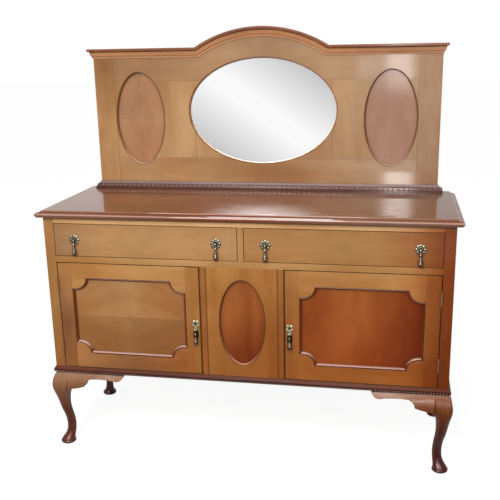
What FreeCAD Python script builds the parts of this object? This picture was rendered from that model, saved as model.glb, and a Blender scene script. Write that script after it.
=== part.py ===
import FreeCAD, Part
import Sketcher
import math
import os
import re

V = FreeCAD.Vector

# Driving sizes of the sideboard, in millimetres
sizes = {
    # Worktop and carcass
    "top_width": 1524, "top_depth": 530, "top_thick": 24,
    "edge_inset": 22, "edge_quirk": 2.6, "quirk_width": 1, "ovolo_drop": 4,
    "nose_drop": 13, "nose_round": 4.5, "nose_undercut": 7,
    "housing_depth": 2, "housing_clear": 0.3,
    "carcass_width": 1476, "front_set": 23, "back_set": 15,
    "leg_height": 309, "base_thick": 22, "door_height": 418,
    "drawer_rail_height": 24, "drawer_height": 124, "top_rail_height": 23,
    "post_width": 38, "frame_thick": 22, "end_thick": 20, "back_thick": 8,
    "divider_width": 22, "muntin_width": 23, "centre_width": 262,
    "drawer_rail_depth": 62, "dust_thick": 12, "partition_thick": 18,
    "shelf_thick": 16, "shelf_height": 205, "shelf_setback": 70,
    "guide_width": 19, "guide_height": 20, "middle_runner": 60,
    "stop_length": 40, "stop_depth": 14, "stop_height": 5,
    "base_projection": 8,
    # Oval in the fixed centre panel
    "centre_oval_wide": 87, "centre_oval_high": 166, "centre_oval_lift": 210,
    # Legs and their brackets
    "leg_block": 46, "rear_leg_set": 10, "pad_height": 12, "pad_radius": 29, "pad_round": 2,
    "knee_out": 18, "knee_front": 21, "knee_drop": 60, "foot_out": 13,
    "rear_ankle": 15, "rear_knee": 20.5, "rear_leg_lean": 3, "shoulder_inset": 0.5,
    "bracket_length": 226, "bracket_thick": 20, "bracket_depth": 30, "side_bracket_length": 130,
    "ear_taper": 8, "lobe_depth": 64, "lobe_tail": 18, "tail_width": 16, "tail_curve": 20,
    "lobe_end": 69, "lobe_lift": 12, "lobe_curve": 250, "step_end": 97, "step_rise": 6, "step_curve": 30,
    "run_curve": 400, "tip_length": 28, "tip_curve": 34,
    # Mirror back
    "mirror_width": 1384, "mirror_thick": 24, "mirror_height": 526,
    "mirror_stile": 84, "mirror_top_rail": 91, "mirror_bottom_rail": 128,
    "mirror_muntin_x": 276, "cornice_height": 38, "cornice_projection": 20,
    "arch_half": 263, "arch_rise": 75,
    "bead_height": 28, "bead_projection": 20,
    "mirror_wide": 300, "mirror_head": 1, "mirror_foot": 105,
    "side_oval_wide": 104, "side_oval_head": 52, "side_oval_foot": 98, "side_oval_lap": 1,
    "oval_rebate": 8, "rebate_depth": 12, "rebate_clear": 0.6,
    "glass_thick": 4, "backing_thick": 6, "oval_panel_thick": 9,
    "bead_width": 6, "bead_clear": 0.2, "bead_set": 2,
    "dowel_radius": 5, "dowel_clear": 0.1, "dowel_down": 14, "dowel_up": 26,
    "dowel_outer_x": 650, "dowel_inner_x": 330,
    # Drawers
    "drawer_gap": 1.6, "drawer_front_thick": 20, "drawer_side_thick": 11,
    "drawer_side_height": 108, "drawer_length": 444, "drawer_back_thick": 10,
    "drawer_bottom_thick": 6, "drawer_bottom_lift": 7, "runner_clear": 0.5,
    # Doors
    "door_gap": 2.4, "door_stile": 52, "door_rail": 56, "panel_set": 9, "panel_thick": 8,
    "corner_radius": 42, "corner_ledge": 13, "panel_bead": 10, "panel_bead_high": 7,
    "lock_width": 36, "lock_height": 60, "lock_thick": 8,
    # Hinges
    "hinge_length": 50, "hinge_leaf": 20, "hinge_leaf_thick": 0.6, "hinge_inset": 60,
    "knuckle_radius": 3, "knuckle_gap": 0.5, "pin_radius": 1.2, "pin_clear": 0.35,
    # Drop pulls
    "rosette_radius": 20, "rosette_thick": 3, "pull_inset": 78, "pull_drop": 1,
    "pull_axis_out": 10, "cheek_inner": 2.8, "cheek_outer": 5.2, "cheek_high": 4,
    "pull_pin_radius": 1.2, "eye_radius": 3.2, "eye_bore": 1.7, "eye_half": 2.3,
    "petal_radius": 5.8, "plate_petal": 4.5, "foot_petal": 3,
    "drop_length": 58, "drop_radius": 8.2, "stem_radius": 2.6, "neck_swell": 2,
    "shoulder_high": 8, "neck_high": 18, "stem_high": 32, "eye_lap": 0.4,
    "plate_stile_x": 20, "plate_lobe": 13, "plate_foot": 7.5, "plate_waist": 4.6,
    "leaf_wide": 10.5, "leaf_high": 21, "leaf_drop": 20, "leaf_thick": 1.2,
    "keyhole_lift": 20, "plate_axis_lift": 179,
    "keyhole_radius": 3, "keyhole_slot": 9, "keyhole_slot_width": 3,
}

# Places worked out from the driving sizes
places = {
    "half": "carcass_width / 2",
    "front_y": "front_set - top_depth / 2",
    "back_y": "top_depth / 2 - back_set",
    "inner_y": "front_y + frame_thick",
    "board_z": "leg_height + base_thick",
    "rail_z": "board_z + door_height",
    "drawer_z": "rail_z + drawer_rail_height",
    "head_z": "drawer_z + drawer_height",
    "under_z": "head_z + top_rail_height",
    "work_z": "under_z + top_thick",
    "open_x": "half - post_width",
    "end_x": "half - end_thick",
    "centre_x": "centre_width / 2",
    "door_x": "centre_x + muntin_width",
    "block_x": "half - leg_block",
    "mirror_y": "top_depth / 2 - mirror_thick",
    "mirror_x": "mirror_width / 2",
    "rebate_y": "top_depth / 2 - rebate_depth",
    "seat_z": "work_z - housing_depth",
    "mirror_high": "(mirror_height - mirror_head - mirror_foot) / 2",
    "mirror_z": "work_z + mirror_foot + mirror_high",
    "side_oval_high": "(mirror_height - side_oval_head - side_oval_foot) / 2",
    "side_oval_z": "work_z + side_oval_foot + side_oval_high",
    "side_oval_x": "mirror_x - mirror_stile - side_oval_wide + side_oval_lap",
    "cornice_z": "work_z + mirror_height",
    "arch_radius": "(arch_half * arch_half + arch_rise * arch_rise) / (2 * arch_rise)",
    "arch_low": "arch_radius - cornice_height",
    "arch_z": "cornice_z + cornice_height + arch_rise - arch_radius",
    "arch_foot": "sqrt(arch_low ^ 2 - (cornice_z - arch_z) ^ 2)",
    "oval_z": "board_z + centre_oval_lift",
    "pull_z": "drawer_z + drawer_height / 2 + pull_drop",
    "pull_y": "front_y - pull_axis_out",
    "drop_widest": "drop_length - drop_radius",
    "plate_z": "board_z + plate_axis_lift",
    "plate_x": "door_x + plate_stile_x",
    "door_low": "board_z + door_gap",
    "door_high": "rail_z - door_gap",
    "door_out": "open_x - door_gap",
    "door_in": "door_x + door_gap",
    "hinge_x": "open_x - door_gap / 2",
    "hinge_y": "front_y - knuckle_radius - knuckle_gap",
}

doc = FreeCAD.newDocument("sideboard")
sheet = doc.addObject("Spreadsheet::Sheet", "Dims")
for row, (alias, number) in enumerate(sizes.items(), start=1):
    sheet.set(f"A{row}", alias)
    sheet.set(f"B{row}", str(number))
    sheet.setAlias(f"B{row}", alias)
doc.recompute()

nodes = []


def linked(text):
    # Turns the plain words of a formula into cell references
    def swap(match):
        word = match.group()
        if word in places:
            return "(" + linked(places[word]) + ")"
        return "Dims." + word if word in sizes else word
    return re.sub(r"[a-z]\w*", swap, text)


def number(text):
    return float(sheet.evalExpression(linked(text)))


def bind(thing, **formulas):
    for name, text in formulas.items():
        thing.setExpression(name, linked(text))
    return thing


def place(thing, x="0", y="0", z="0"):
    for axis, text in (("x", x), ("y", y), ("z", z)):
        thing.setExpression("Placement.Base." + axis, linked(text))
    return thing


def node(label, thing):
    thing.Label = label
    nodes.append(thing)
    return thing


# Basic solids, each bound to the sheet
def box(x, y, z):
    thing = doc.addObject("Part::Box", "board")
    for name, (low, high) in (("Length", x), ("Width", y), ("Height", z)):
        bind(thing, **{name: f"({high}) - ({low})"})
    return place(thing, x[0], y[0], z[0])


turns = {
    "x": FreeCAD.Rotation(V(0, 1, 0), 90),
    "y": FreeCAD.Rotation(V(1, 0, 0), -90),
    "z": FreeCAD.Rotation(),
}


def rod(axis, radius, length, x, y, z):
    thing = doc.addObject("Part::Cylinder", "rod")
    thing.Placement = FreeCAD.Placement(V(), turns[axis])
    bind(thing, Radius=radius, Height=length)
    return place(thing, x, y, z)


def oval(wide, high, depth, x, y, z, upright=False):
    # An oval plate facing the front: its longer half axis is upright or level
    curve = doc.addObject("Part::Ellipse", "oval")
    turn = FreeCAD.Rotation(V(1, 0, 0), 90)
    if upright:
        turn = turn * FreeCAD.Rotation(V(0, 0, 1), 90)
    curve.Placement = FreeCAD.Placement(V(), turn)
    bind(curve, MajorRadius=high if upright else wide, MinorRadius=wide if upright else high)
    place(curve, x, y, z)
    plate = doc.addObject("Part::Extrusion", "plate")
    plate.Base = curve
    plate.DirMode = "Custom"
    plate.Dir = V(0, 1, 0)
    plate.Solid = True
    return bind(plate, LengthFwd=depth)


def stack(levels):
    # A board with a moulded edge: flat outlines joined by straight faces from the bottom up
    outlines = []
    for x, y, z in levels:
        outline = doc.addObject("Part::Plane", "outline")
        bind(outline, Length=f"({x[1]}) - ({x[0]})", Width=f"({y[1]}) - ({y[0]})")
        outlines.append(place(outline, x[0], y[0], z))
    thing = doc.addObject("Part::Loft", "moulding")
    thing.Sections = outlines
    thing.Solid = True
    thing.Ruled = True
    return thing


def rings(circles, ruled=False):
    # A turned or carved limb through level circles, each given by its centre, height and radius
    outlines = []
    for x, y, z, radius in circles:
        outline = doc.addObject("Part::Circle", "ring")
        outlines.append(place(bind(outline, Radius=radius), x, y, z))
    thing = doc.addObject("Part::Loft", "limb")
    thing.Sections = outlines
    thing.Solid = True
    thing.Ruled = ruled
    return thing


def cut(base, *tools):
    thing = doc.addObject("Part::Cut", "cut")
    thing.Base = base
    thing.Tool = tools[0] if len(tools) == 1 else fuse(*tools)
    return thing


def fuse(*shapes):
    thing = doc.addObject("Part::MultiFuse", "fuse")
    thing.Shapes = list(shapes)
    return thing


def common(base, tool):
    thing = doc.addObject("Part::Common", "common")
    thing.Base = base
    thing.Tool = tool
    return thing


def group(*shapes):
    thing = doc.addObject("Part::Compound", "group")
    thing.Links = list(shapes)
    return thing


def mirrored(source, normal=V(1, 0, 0)):
    thing = doc.addObject("Part::Mirroring", "mirrored")
    thing.Source = source
    thing.Normal = normal
    return thing


def sketch(body, role, corners):
    # A closed outline: each corner is a pair of formulas
    # Where an arc leads to the next corner, its radius and side come after them
    drawing = body.newObject("Sketcher::SketchObject", "outline")
    plane = [f for f in body.Origin.OriginFeatures if f.Role == role][0]
    drawing.AttachmentSupport = [(plane, "")]
    drawing.MapMode = "FlatFace"
    spots = [V(number(c[0]), number(c[1]), 0) for c in corners]
    for index, corner in enumerate(corners):
        start = spots[index]
        end = spots[(index + 1) % len(spots)]
        first_point = 1
        if len(corner) == 2:
            piece = drawing.addGeometry(Part.LineSegment(start, end))
        else:
            radius = number(corner[2])
            chord = end - start
            across = V(-chord.y, chord.x, 0).normalize()
            reach = math.sqrt(max(radius ** 2 - (chord.Length / 2) ** 2, 0))
            centre = (start + end) * 0.5 + across * reach * corner[3]
            low, high = (start, end) if corner[3] > 0 else (end, start)
            first_point = 1 if corner[3] > 0 else 2
            angles = [math.atan2(p.y - centre.y, p.x - centre.x) for p in (low, high)]
            round_edge = Part.Circle(centre, V(0, 0, 1), radius)
            piece = drawing.addGeometry(Part.ArcOfCircle(round_edge, *angles))
        for kind, text in (("DistanceX", corner[0]), ("DistanceY", corner[1])):
            value = start.x if kind == "DistanceX" else start.y
            rule = drawing.addConstraint(Sketcher.Constraint(kind, -1, 1, piece, first_point, value))
            drawing.setExpression(f"Constraints[{rule}]", linked(text))
        corners[index] = (*corner[:2], piece, first_point, *corner[2:3])
    for index, corner in enumerate(corners):
        after = corners[(index + 1) % len(corners)]
        last_point = 3 - corner[3]
        drawing.addConstraint(Sketcher.Constraint("Coincident", corner[2], last_point, after[2], after[3]))
        if len(corner) == 5:
            rule = drawing.addConstraint(Sketcher.Constraint("Radius", corner[2], number(corner[4])))
            drawing.setExpression(f"Constraints[{rule}]", linked(corner[4]))
    return drawing


def padded(corners, thick, role="XZ_Plane"):
    # A board sawn to an outline
    body = doc.addObject("PartDesign::Body", "sawn")
    outline = sketch(body, role, list(corners))
    pad = body.newObject("PartDesign::Pad", "thickness")
    pad.Profile = outline
    bind(pad, Length=thick)
    return body


def turned(corners, role="YZ_Plane", axis="V_Axis"):
    # A piece turned about an axis of its outline
    body = doc.addObject("PartDesign::Body", "turned")
    outline = sketch(body, role, list(corners))
    turn = body.newObject("PartDesign::Revolution", "turn")
    turn.Profile = outline
    turn.ReferenceAxis = (outline, [axis])
    turn.Angle = 360
    return body


# Worktop: a flat top, a small quirk, a sloping ovolo and an undercut nosing on the front and ends
edge_profile = [
    ("nose_undercut", "top_thick"),
    ("nose_undercut / 3", "nose_drop + nose_round"),
    ("0", "nose_drop"),
    ("nose_undercut / 3", "nose_drop - nose_round"),
    ("edge_inset / 2", "edge_quirk + ovolo_drop"),
    ("edge_inset - quirk_width", "edge_quirk"),
    ("edge_inset", "0"),
]


def top_levels():
    for inset, drop in edge_profile:
        side = f"top_width / 2 - ({inset})"
        along_y = (f"({inset}) - top_depth / 2", "top_depth / 2")
        yield (f"-({side})", side), along_y, f"work_z - ({drop})"


def dowel_rods(spare):
    spots = [f"{sign}dowel_{ring}_x" for ring in ("outer", "inner") for sign in ("", "-")]
    length = "dowel_down + dowel_up"
    radius = f"dowel_radius + {spare}"
    y = "mirror_y + mirror_thick / 2"
    return [rod("z", radius, length, x, y, "work_z - dowel_down") for x in spots]


dowel_holes = fuse(*dowel_rods("dowel_clear"))
housing_x = "mirror_x + bead_projection + housing_clear"
housing_y = ("mirror_y - bead_projection - housing_clear", "top_depth / 2 + top_thick")
mirror_housing = box((f"-({housing_x})", housing_x), housing_y, ("seat_z", "work_z + top_thick"))
node("top_board", cut(stack(top_levels()), dowel_holes, mirror_housing))
node("mirror_dowels", group(*dowel_rods("0")))

# Carcass boards
front_slab = ("front_y", "inner_y")
node("bottom_board", box(("-half", "half"), ("front_y", "back_y"), ("leg_height", "board_z")))
post = box(("open_x", "half"), front_slab, ("board_z", "under_z"))
node("front_posts", group(post, mirrored(post)))
end_board = box(("end_x", "half"), ("inner_y", "back_y"), ("board_z", "under_z"))
node("end_boards", group(end_board, mirrored(end_board)))
top_rail = box(("-open_x", "open_x"), front_slab, ("head_z", "under_z"))
drawer_rail = box(("-open_x", "open_x"), ("front_y", "front_y + drawer_rail_depth"), ("rail_z", "drawer_z"))
node("front_rails", group(top_rail, drawer_rail))
divider_x = ("-divider_width / 2", "divider_width / 2")
divider = box(divider_x, front_slab, ("drawer_z", "head_z"))
muntin = box(("centre_x", "door_x"), front_slab, ("board_z", "rail_z"))
node("front_dividers", group(divider, muntin, mirrored(muntin)))
inside_y = ("front_y + drawer_rail_depth", "back_y - back_thick")
behind_y = ("inner_y", "back_y - back_thick")
drawer_partition = box(divider_x, behind_y, ("drawer_z", "under_z"))
node("dust_board", box(("-end_x", "end_x"), inside_y, ("rail_z", "rail_z + dust_thick")))
node("back_board", box(("-end_x", "end_x"), ("back_y - back_thick", "back_y"), ("board_z", "under_z")))
partition = box(("centre_x", "centre_x + partition_thick"), behind_y, ("board_z", "rail_z"))
node("partitions", group(drawer_partition, partition, mirrored(partition)))

# Drawer runners and guides, and the blocks that the drawers and doors close against
runner_z = ("rail_z + dust_thick", "drawer_z")
end_runner = box(("end_x - guide_width - drawer_side_thick", "end_x"), inside_y, runner_z)
middle_runner = box(("-middle_runner / 2", "middle_runner / 2"), inside_y, runner_z)
guide = box(("end_x - guide_width", "end_x"), behind_y, ("drawer_z", "drawer_z + guide_height"))
node("drawer_runners", group(end_runner, mirrored(end_runner), middle_runner, guide, mirrored(guide)))
stop_y = ("inner_y - frame_thick + drawer_front_thick + drawer_gap", "inner_y + stop_depth")
stops = []
for stop_x in ("pull_inset + divider_width", "open_x - pull_inset - stop_length"):
    stop = box((stop_x, f"{stop_x} + stop_length"), stop_y, ("drawer_z", "drawer_z + stop_height"))
    stops += [stop, mirrored(stop)]
door_stop_x = ("door_in + lock_width", "door_in + lock_width + stop_length")
door_stop_y = ("inner_y + drawer_gap", "inner_y + stop_depth")
door_stop = box(door_stop_x, door_stop_y, ("rail_z - stop_depth", "rail_z"))
node("closing_stops", group(*stops, door_stop, mirrored(door_stop)))

# Cupboard shelves
shelf_x = ("centre_x + partition_thick", "end_x")
shelf_y = ("inner_y + shelf_setback", "back_y - back_thick")
shelf_z = ("board_z + shelf_height", "board_z + shelf_height + shelf_thick")
shelf = box(shelf_x, shelf_y, shelf_z)
node("shelves", group(shelf, mirrored(shelf)))


# Fixed centre panel with its oval
def rebated_oval(wide, high, x, front, shoulder, back, z, upright):
    seat_wide = f"{wide} + oval_rebate"
    seat_high = f"{high} + oval_rebate"
    hole = oval(wide, high, f"({back}) - ({front}) + 2", x, f"({front}) - 1", z, upright)
    seat = oval(seat_wide, seat_high, f"({back}) - ({shoulder}) + 1", x, shoulder, z, upright)
    return fuse(hole, seat)


def seated_oval(wide, high, thick, x, y, z, upright):
    lap = "oval_rebate - rebate_clear"
    return oval(f"{wide} + {lap}", f"{high} + {lap}", thick, x, y, z, upright)


def oval_ring(wide, high, x, front, back, z, upright):
    depth = f"({back}) - ({front})"
    outer = oval(f"{wide} - bead_clear", f"{high} - bead_clear", depth, x, front, z, upright)
    inner_size = (f"{wide} - bead_width", f"{high} - bead_width")
    inner = oval(*inner_size, f"{depth} + 2", x, f"({front}) - 1", z, upright)
    return cut(outer, inner)


centre_size = ("centre_oval_wide", "centre_oval_high")
centre_shoulder = "inner_y - rebate_depth"
centre_hole = rebated_oval(*centre_size, "0", "front_y", centre_shoulder, "inner_y", "oval_z", True)
centre_board = box(("-centre_x", "centre_x"), front_slab, ("board_z", "rail_z"))
node("centre_panel", cut(centre_board, centre_hole))
node("centre_oval", seated_oval(*centre_size, "oval_panel_thick", "0", centre_shoulder, "oval_z", True))

# Base moulding round the front and ends
base_profile = [("base_projection / 2", "0"), ("base_projection", "base_thick / 4"),
                ("base_projection", "base_thick / 2"), ("base_projection / 4", "base_thick")]


def base_levels():
    for out, lift in base_profile:
        side = f"half + {out}"
        yield (f"-({side})", side), (f"front_y - ({out})", "back_y"), f"leg_height + {lift}"


carcass_core = box(("-half", "half"), ("front_y", "back_y + 1"), ("leg_height - 1", "board_z + 1"))
node("base_moulding", cut(stack(base_levels()), carcass_core))

# Pad feet: one outline for all four legs
def pad_foot(x, y):
    levels = [
        ("0", "pad_radius - 2 * pad_round"),
        ("pad_height / 3", "pad_radius"),
        ("pad_height * 0.75", "pad_radius"),
        ("pad_height", "pad_radius - pad_round"),
    ]
    return rings([(x, y, lift, radius) for lift, radius in levels], ruled=True)


# Cabriole front legs, level by level from the knee down to the foot
# Each level gives its share of the height, how far its outer faces stand out as a share of the knee,
# how far its inner faces are drawn in as a share of the block, and how round it is
front_levels = [
    (1, 0, 0.008, 0.12),
    (0.951, 0.48, 0.008, 0.15),
    (0.9, 0.8, 0.008, 0.2),
    (0.83, 1, 0.008, 0.3),
    (0.767, 0.98, 0.03, 0.48),
    (0.7, 0.78, 0.11, 0.7),
    (0.6, 0.42, 0.185, 0.92),
    (0.485, 0.06, 0.17, 0.98),
    (0.356, -0.48, 0.06, 0.98),
    (0.233, -0.66, 0, 0.98),
    (0.149, -0.5, 0.03, 0.98),
    (0.084, 0.08, 0.08, 0.98),
]


def rounded_square(body, x, y, z, share):
    # A level outline with four straight sides and four round corners
    size = f"min(({x[1]}) - ({x[0]}); ({y[1]}) - ({y[0]})) / 2"
    bend = f"{share} * {size}"
    bends = [(x[1], y[0], "-", "+"), (x[1], y[1], "-", "-"), (x[0], y[1], "+", "-"), (x[0], y[0], "+", "+")]
    corners = []
    for index, (along, across, x_way, y_way) in enumerate(bends):
        on_level = (f"{along} {x_way} {bend}", across)
        on_upright = (along, f"{across} {y_way} {bend}")
        first, second = (on_level, on_upright) if index % 2 == 0 else (on_upright, on_level)
        corners += [(*first, bend, 1), second]
    outline = sketch(body, "XY_Plane", corners)
    outline.setExpression("AttachmentOffset.Base.z", linked(z))
    return outline


def cabriole_leg():
    body = doc.addObject("PartDesign::Body", "cabriole")
    outlines = []
    for up, out, draw, share in front_levels:
        x = (f"block_x + leg_block * {draw}", f"half + knee_out * ({out})")
        y = (f"front_y - knee_front * ({out})", f"front_y + leg_block * (1 - {draw})")
        outlines.append(rounded_square(body, x, y, f"leg_height * {up}", share))
    foot_x = "half + foot_out - pad_radius"
    foot_y = "front_y - foot_out + pad_radius"
    pad_x = (f"{foot_x} - pad_radius + pad_round", f"{foot_x} + pad_radius - pad_round")
    pad_y = (f"{foot_y} - pad_radius + pad_round", f"{foot_y} + pad_radius - pad_round")
    outlines.append(rounded_square(body, pad_x, pad_y, "pad_height", front_levels[-1][3]))
    limb = body.newObject("PartDesign::AdditiveLoft", "limb")
    limb.Profile = outlines[0]
    limb.Sections = outlines[1:]
    return fuse(body, pad_foot(foot_x, foot_y))


front_leg = cabriole_leg()
node("front_legs", group(front_leg, mirrored(front_leg)))

# Rear legs: plainer limbs, each level a share of the height, of the lean, and a radius
rear_levels = [
    (0.084, 0.33, "rear_ankle * 1.2"),
    (0.149, -0.33, "rear_ankle * 1.04"),
    (0.233, -0.67, "rear_ankle"),
    (0.356, -0.33, "rear_ankle * 1.04"),
    (0.485, 0.33, "rear_ankle * 1.15"),
    (0.667, 0.67, "rear_knee * 0.95"),
    (0.816, 0.33, "rear_knee * 1.05"),
    (1, 0, "leg_block / 2 - shoulder_inset"),
]


def rear_leg():
    x_centre = "half - leg_block / 2"
    y_centre = "back_y - rear_leg_set - leg_block / 2"
    foot_x = f"{x_centre} + rear_leg_lean"
    foot_y = f"{y_centre} + rear_leg_lean"
    circles = [(foot_x, foot_y, "pad_height", "pad_radius - pad_round")]
    for up, out, radius in rear_levels:
        lean = f"rear_leg_lean * ({out})"
        circles.append((f"{x_centre} + {lean}", f"{y_centre} + {lean}", f"leg_height * {up}", radius))
    block_y = ("back_y - rear_leg_set - leg_block", "back_y - rear_leg_set")
    block = box(("block_x", "half"), block_y, ("leg_height - leg_block", "leg_height"))
    return fuse(rings(circles), pad_foot(foot_x, foot_y), block)


back_leg = rear_leg()
node("rear_legs", group(back_leg, mirrored(back_leg)))


def bracket(length, thick):
    # Knee bracket: a lobe beside the leg, a shallow arched run and a rounded end
    corners = [
        ("0", "0"),
        ("0", "-lobe_depth - lobe_tail", "tail_curve", -1),
        ("tail_width", "-lobe_depth", "lobe_curve", 1),
        ("lobe_end", "-lobe_depth + lobe_lift", "step_curve", -1),
        ("step_end", "-bracket_depth + step_rise", "run_curve", -1),
        (f"{length} - tip_length", "-bracket_depth", "tip_curve", 1),
        (length, "0"),
    ]
    return padded(corners, thick)


def cushioned_ear(length, bulge, angle, x, y, face):
    # A front leg's bracket: its face swells with the knee and tapers towards its tip
    turn = FreeCAD.Rotation(V(0, 0, 1), angle)
    board = bracket(length, f"bracket_thick + {bulge}")
    board.Placement = FreeCAD.Placement(V(), turn)
    place(board, f"{x} + ({face[0]}) * {bulge}", f"{y} + ({face[1]}) * {bulge}", "leg_height")
    radius = f"(knee_drop ^ 2 + {bulge} ^ 2) / (2 * {bulge})"
    swell = doc.addObject("Part::Cone", "swell")
    swell.Placement = FreeCAD.Placement(V(), turn * turns["x"])
    bind(swell, Radius1=radius, Radius2=f"{radius} - ear_taper", Height=length)
    inward = f"({radius} - {bulge})"
    place(swell, f"{x} - ({face[0]}) * {inward}", f"{y} - ({face[1]}) * {inward}", "leg_height - knee_drop")
    return common(board, swell)


# The ears at the sides of the front legs are drawn reversed and then mirrored to the front
front_ear = cushioned_ear("bracket_length", "knee_front", 180, "block_x", "front_y", (0, -1))
side_y = "-(front_y + leg_block)"
side_ear = cushioned_ear("side_bracket_length", "knee_out", -90, "half", side_y, (1, 0))
rear_ear = bracket("side_bracket_length", "bracket_thick")
rear_ear.Placement = FreeCAD.Placement(V(), FreeCAD.Rotation(V(0, 0, 1), -90))
place(rear_ear, "half", "back_y - rear_leg_set - leg_block", "leg_height")
brackets = []
for ear in (front_ear, mirrored(side_ear, V(0, 1, 0)), rear_ear):
    brackets += [ear, mirrored(ear)]
node("knee_brackets", group(*brackets))

# Mirror back: frame boards with oval openings
mirror_slab = ("mirror_y", "top_depth / 2")
mirror_oval = ("mirror_wide", "mirror_high")
side_oval = ("side_oval_wide", "side_oval_high")
frame_depth = ("mirror_y", "rebate_y", "top_depth / 2")
mirror_hole = rebated_oval(*mirror_oval, "0", *frame_depth, "mirror_z", False)
side_hole = rebated_oval(*side_oval, "side_oval_x", *frame_depth, "side_oval_z", True)
openings = fuse(mirror_hole, side_hole, mirrored(side_hole), dowel_holes)
field_x = "mirror_x - mirror_stile"
rail_low = "cornice_z - mirror_top_rail"
field_z = ("work_z + mirror_bottom_rail", rail_low)
upright = box((field_x, "mirror_x"), mirror_slab, ("seat_z", "cornice_z"))
haunch = box(("side_oval_x", field_x), mirror_slab, field_z)
stile = cut(fuse(upright, haunch), openings)
node("mirror_stiles", group(stile, mirrored(stile)))
straight_rail = box((f"-({field_x})", field_x), mirror_slab, (rail_low, "cornice_z"))
arch_round = rod("y", "arch_low", "mirror_thick", "0", "mirror_y", "arch_z")
arch_field = box(("-arch_foot", "arch_foot"), mirror_slab, ("cornice_z", "cornice_z + arch_half"))
arch_part = common(arch_round, arch_field)
node("mirror_top_rail_board", cut(fuse(straight_rail, arch_part), openings))
bottom_rail = box((f"-({field_x})", field_x), mirror_slab, ("seat_z", "work_z + mirror_bottom_rail"))
node("mirror_bottom_rail_board", cut(bottom_rail, openings))
mirror_muntin = cut(box(("mirror_muntin_x", "side_oval_x"), mirror_slab, field_z), openings)
corner_blocks = cut(box(("0", "mirror_muntin_x"), mirror_slab, field_z), openings)
field_pieces = [mirror_muntin, corner_blocks]
node("mirror_muntins", group(*field_pieces, *[mirrored(piece) for piece in field_pieces]))
node("mirror_glass", seated_oval(*mirror_oval, "glass_thick", "0", "rebate_y", "mirror_z", False))
backing_y = "rebate_y + glass_thick"
node("mirror_backing", seated_oval(*mirror_oval, "backing_thick", "0", backing_y, "mirror_z", False))
right_oval = seated_oval(*side_oval, "oval_panel_thick", "side_oval_x", "rebate_y", "side_oval_z", True)
node("right_side_oval", right_oval)
node("left_side_oval", mirrored(right_oval))

# Beads that line the oval openings
ring_front = "mirror_y + bead_set"
mirror_ring = oval_ring(*mirror_oval, "0", ring_front, "rebate_y", "mirror_z", False)
side_ring = oval_ring(*side_oval, "side_oval_x", ring_front, "rebate_y", "side_oval_z", True)
centre_ring = oval_ring(*centre_size, "0", "front_y + bead_set", centre_shoulder, "oval_z", True)
node("oval_beads", group(mirror_ring, side_ring, mirrored(side_ring), centre_ring))

# Cornice: each level's share of the height and of the projection, used straight and round the arch
cornice_shares = [
    (0, 0.12), (0.21, 0.2), (0.26, 0.37), (0.63, 0.62), (0.68, 0.5), (0.74, 0.96), (0.79, 1), (1, 1),
]
cornice_profile = [(f"cornice_height * {up}", f"cornice_projection * {out}") for up, out in cornice_shares]
mitre = "(arch_half - arch_foot) / cornice_height"


def cornice_levels():
    for lift, out in cornice_profile:
        inner = f"arch_foot + ({lift}) * {mitre}"
        along_y = (f"mirror_y - {out}", "top_depth / 2")
        yield (inner, f"mirror_x + {out}"), along_y, f"cornice_z + {lift}"


straight_cornice = stack(cornice_levels())
node("straight_cornices", group(straight_cornice, mirrored(straight_cornice)))
arch_outline = [(f"mirror_y - {out}", f"arch_low + {lift}") for lift, out in cornice_profile]
arch_outline += [("top_depth / 2", "arch_radius"), ("top_depth / 2", "arch_low")]
arch_ring = place(turned(arch_outline, "YZ_Plane", "H_Axis"), z="arch_z")
crown = "cornice_z + cornice_height + arch_half"
wedge = [("-arch_foot", "cornice_z"), ("-arch_half", "cornice_z + cornice_height"), ("-arch_half", crown),
         ("arch_half", crown), ("arch_half", "cornice_z + cornice_height"), ("arch_foot", "cornice_z")]
wedge_board = place(padded(wedge, "top_depth"), y="top_depth / 2 + 1")
node("arched_cornice", common(arch_ring, wedge_board))

# Bead moulding at the foot of the mirror back, let into the worktop with it
bead_shares = [(0, 1), (0.25, 1), (0.29, 0.85), (0.61, 0.75), (0.71, 0.4), (1, 0.15)]
bead_profile = [(f"work_z + bead_height * {up}", f"bead_projection * {out}") for up, out in bead_shares]
bead_profile[0] = ("seat_z", "bead_projection")


def bead_levels():
    for height, out in bead_profile:
        side = f"mirror_x + {out}"
        yield (f"-({side})", side), (f"mirror_y - {out}", "top_depth / 2"), height


mirror_core = box(("-mirror_x", "mirror_x"), ("mirror_y", "top_depth / 2 + 1"), ("seat_z - 1", "cornice_z"))
node("bead_moulding", cut(stack(bead_levels()), mirror_core))


# Drop pulls: a pair of cheeks with a cross pin, and a pear drop that swings on it
def pull_seat(x, z):
    cheeks = []
    for low, high in (("cheek_inner", "cheek_outer"), ("-cheek_outer", "-cheek_inner")):
        side = (f"{x} + {low}", f"{x} + {high}")
        reach = ("pull_y - cheek_high", "front_y - rosette_thick")
        cheeks.append(box(side, reach, (f"{z} - cheek_high", f"{z} + cheek_high")))
    pin = rod("x", "pull_pin_radius", "2 * cheek_outer", f"{x} - cheek_outer", "pull_y", z)
    return cheeks + [pin]


def flower(x, z, radius, petal, count):
    # A cast plate with a scalloped edge of round petals, the first of them at the top
    base = "front_y - rosette_thick"
    reach = f"({radius} - {petal})"
    petals = [rod("y", reach, "rosette_thick", x, base, z)]
    for turn in range(count):
        angle = f"{90 + turn * 360 / count} deg"
        petal_x = f"{x} + {reach} * cos({angle})"
        petal_z = f"{z} + {reach} * sin({angle})"
        petals.append(rod("y", petal, "rosette_thick", petal_x, base, petal_z))
    return fuse(*petals)


def rosette_pull(x):
    return fuse(flower(x, "pull_z", "rosette_radius", "petal_radius", 8), *pull_seat(x, "pull_z"))


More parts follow.
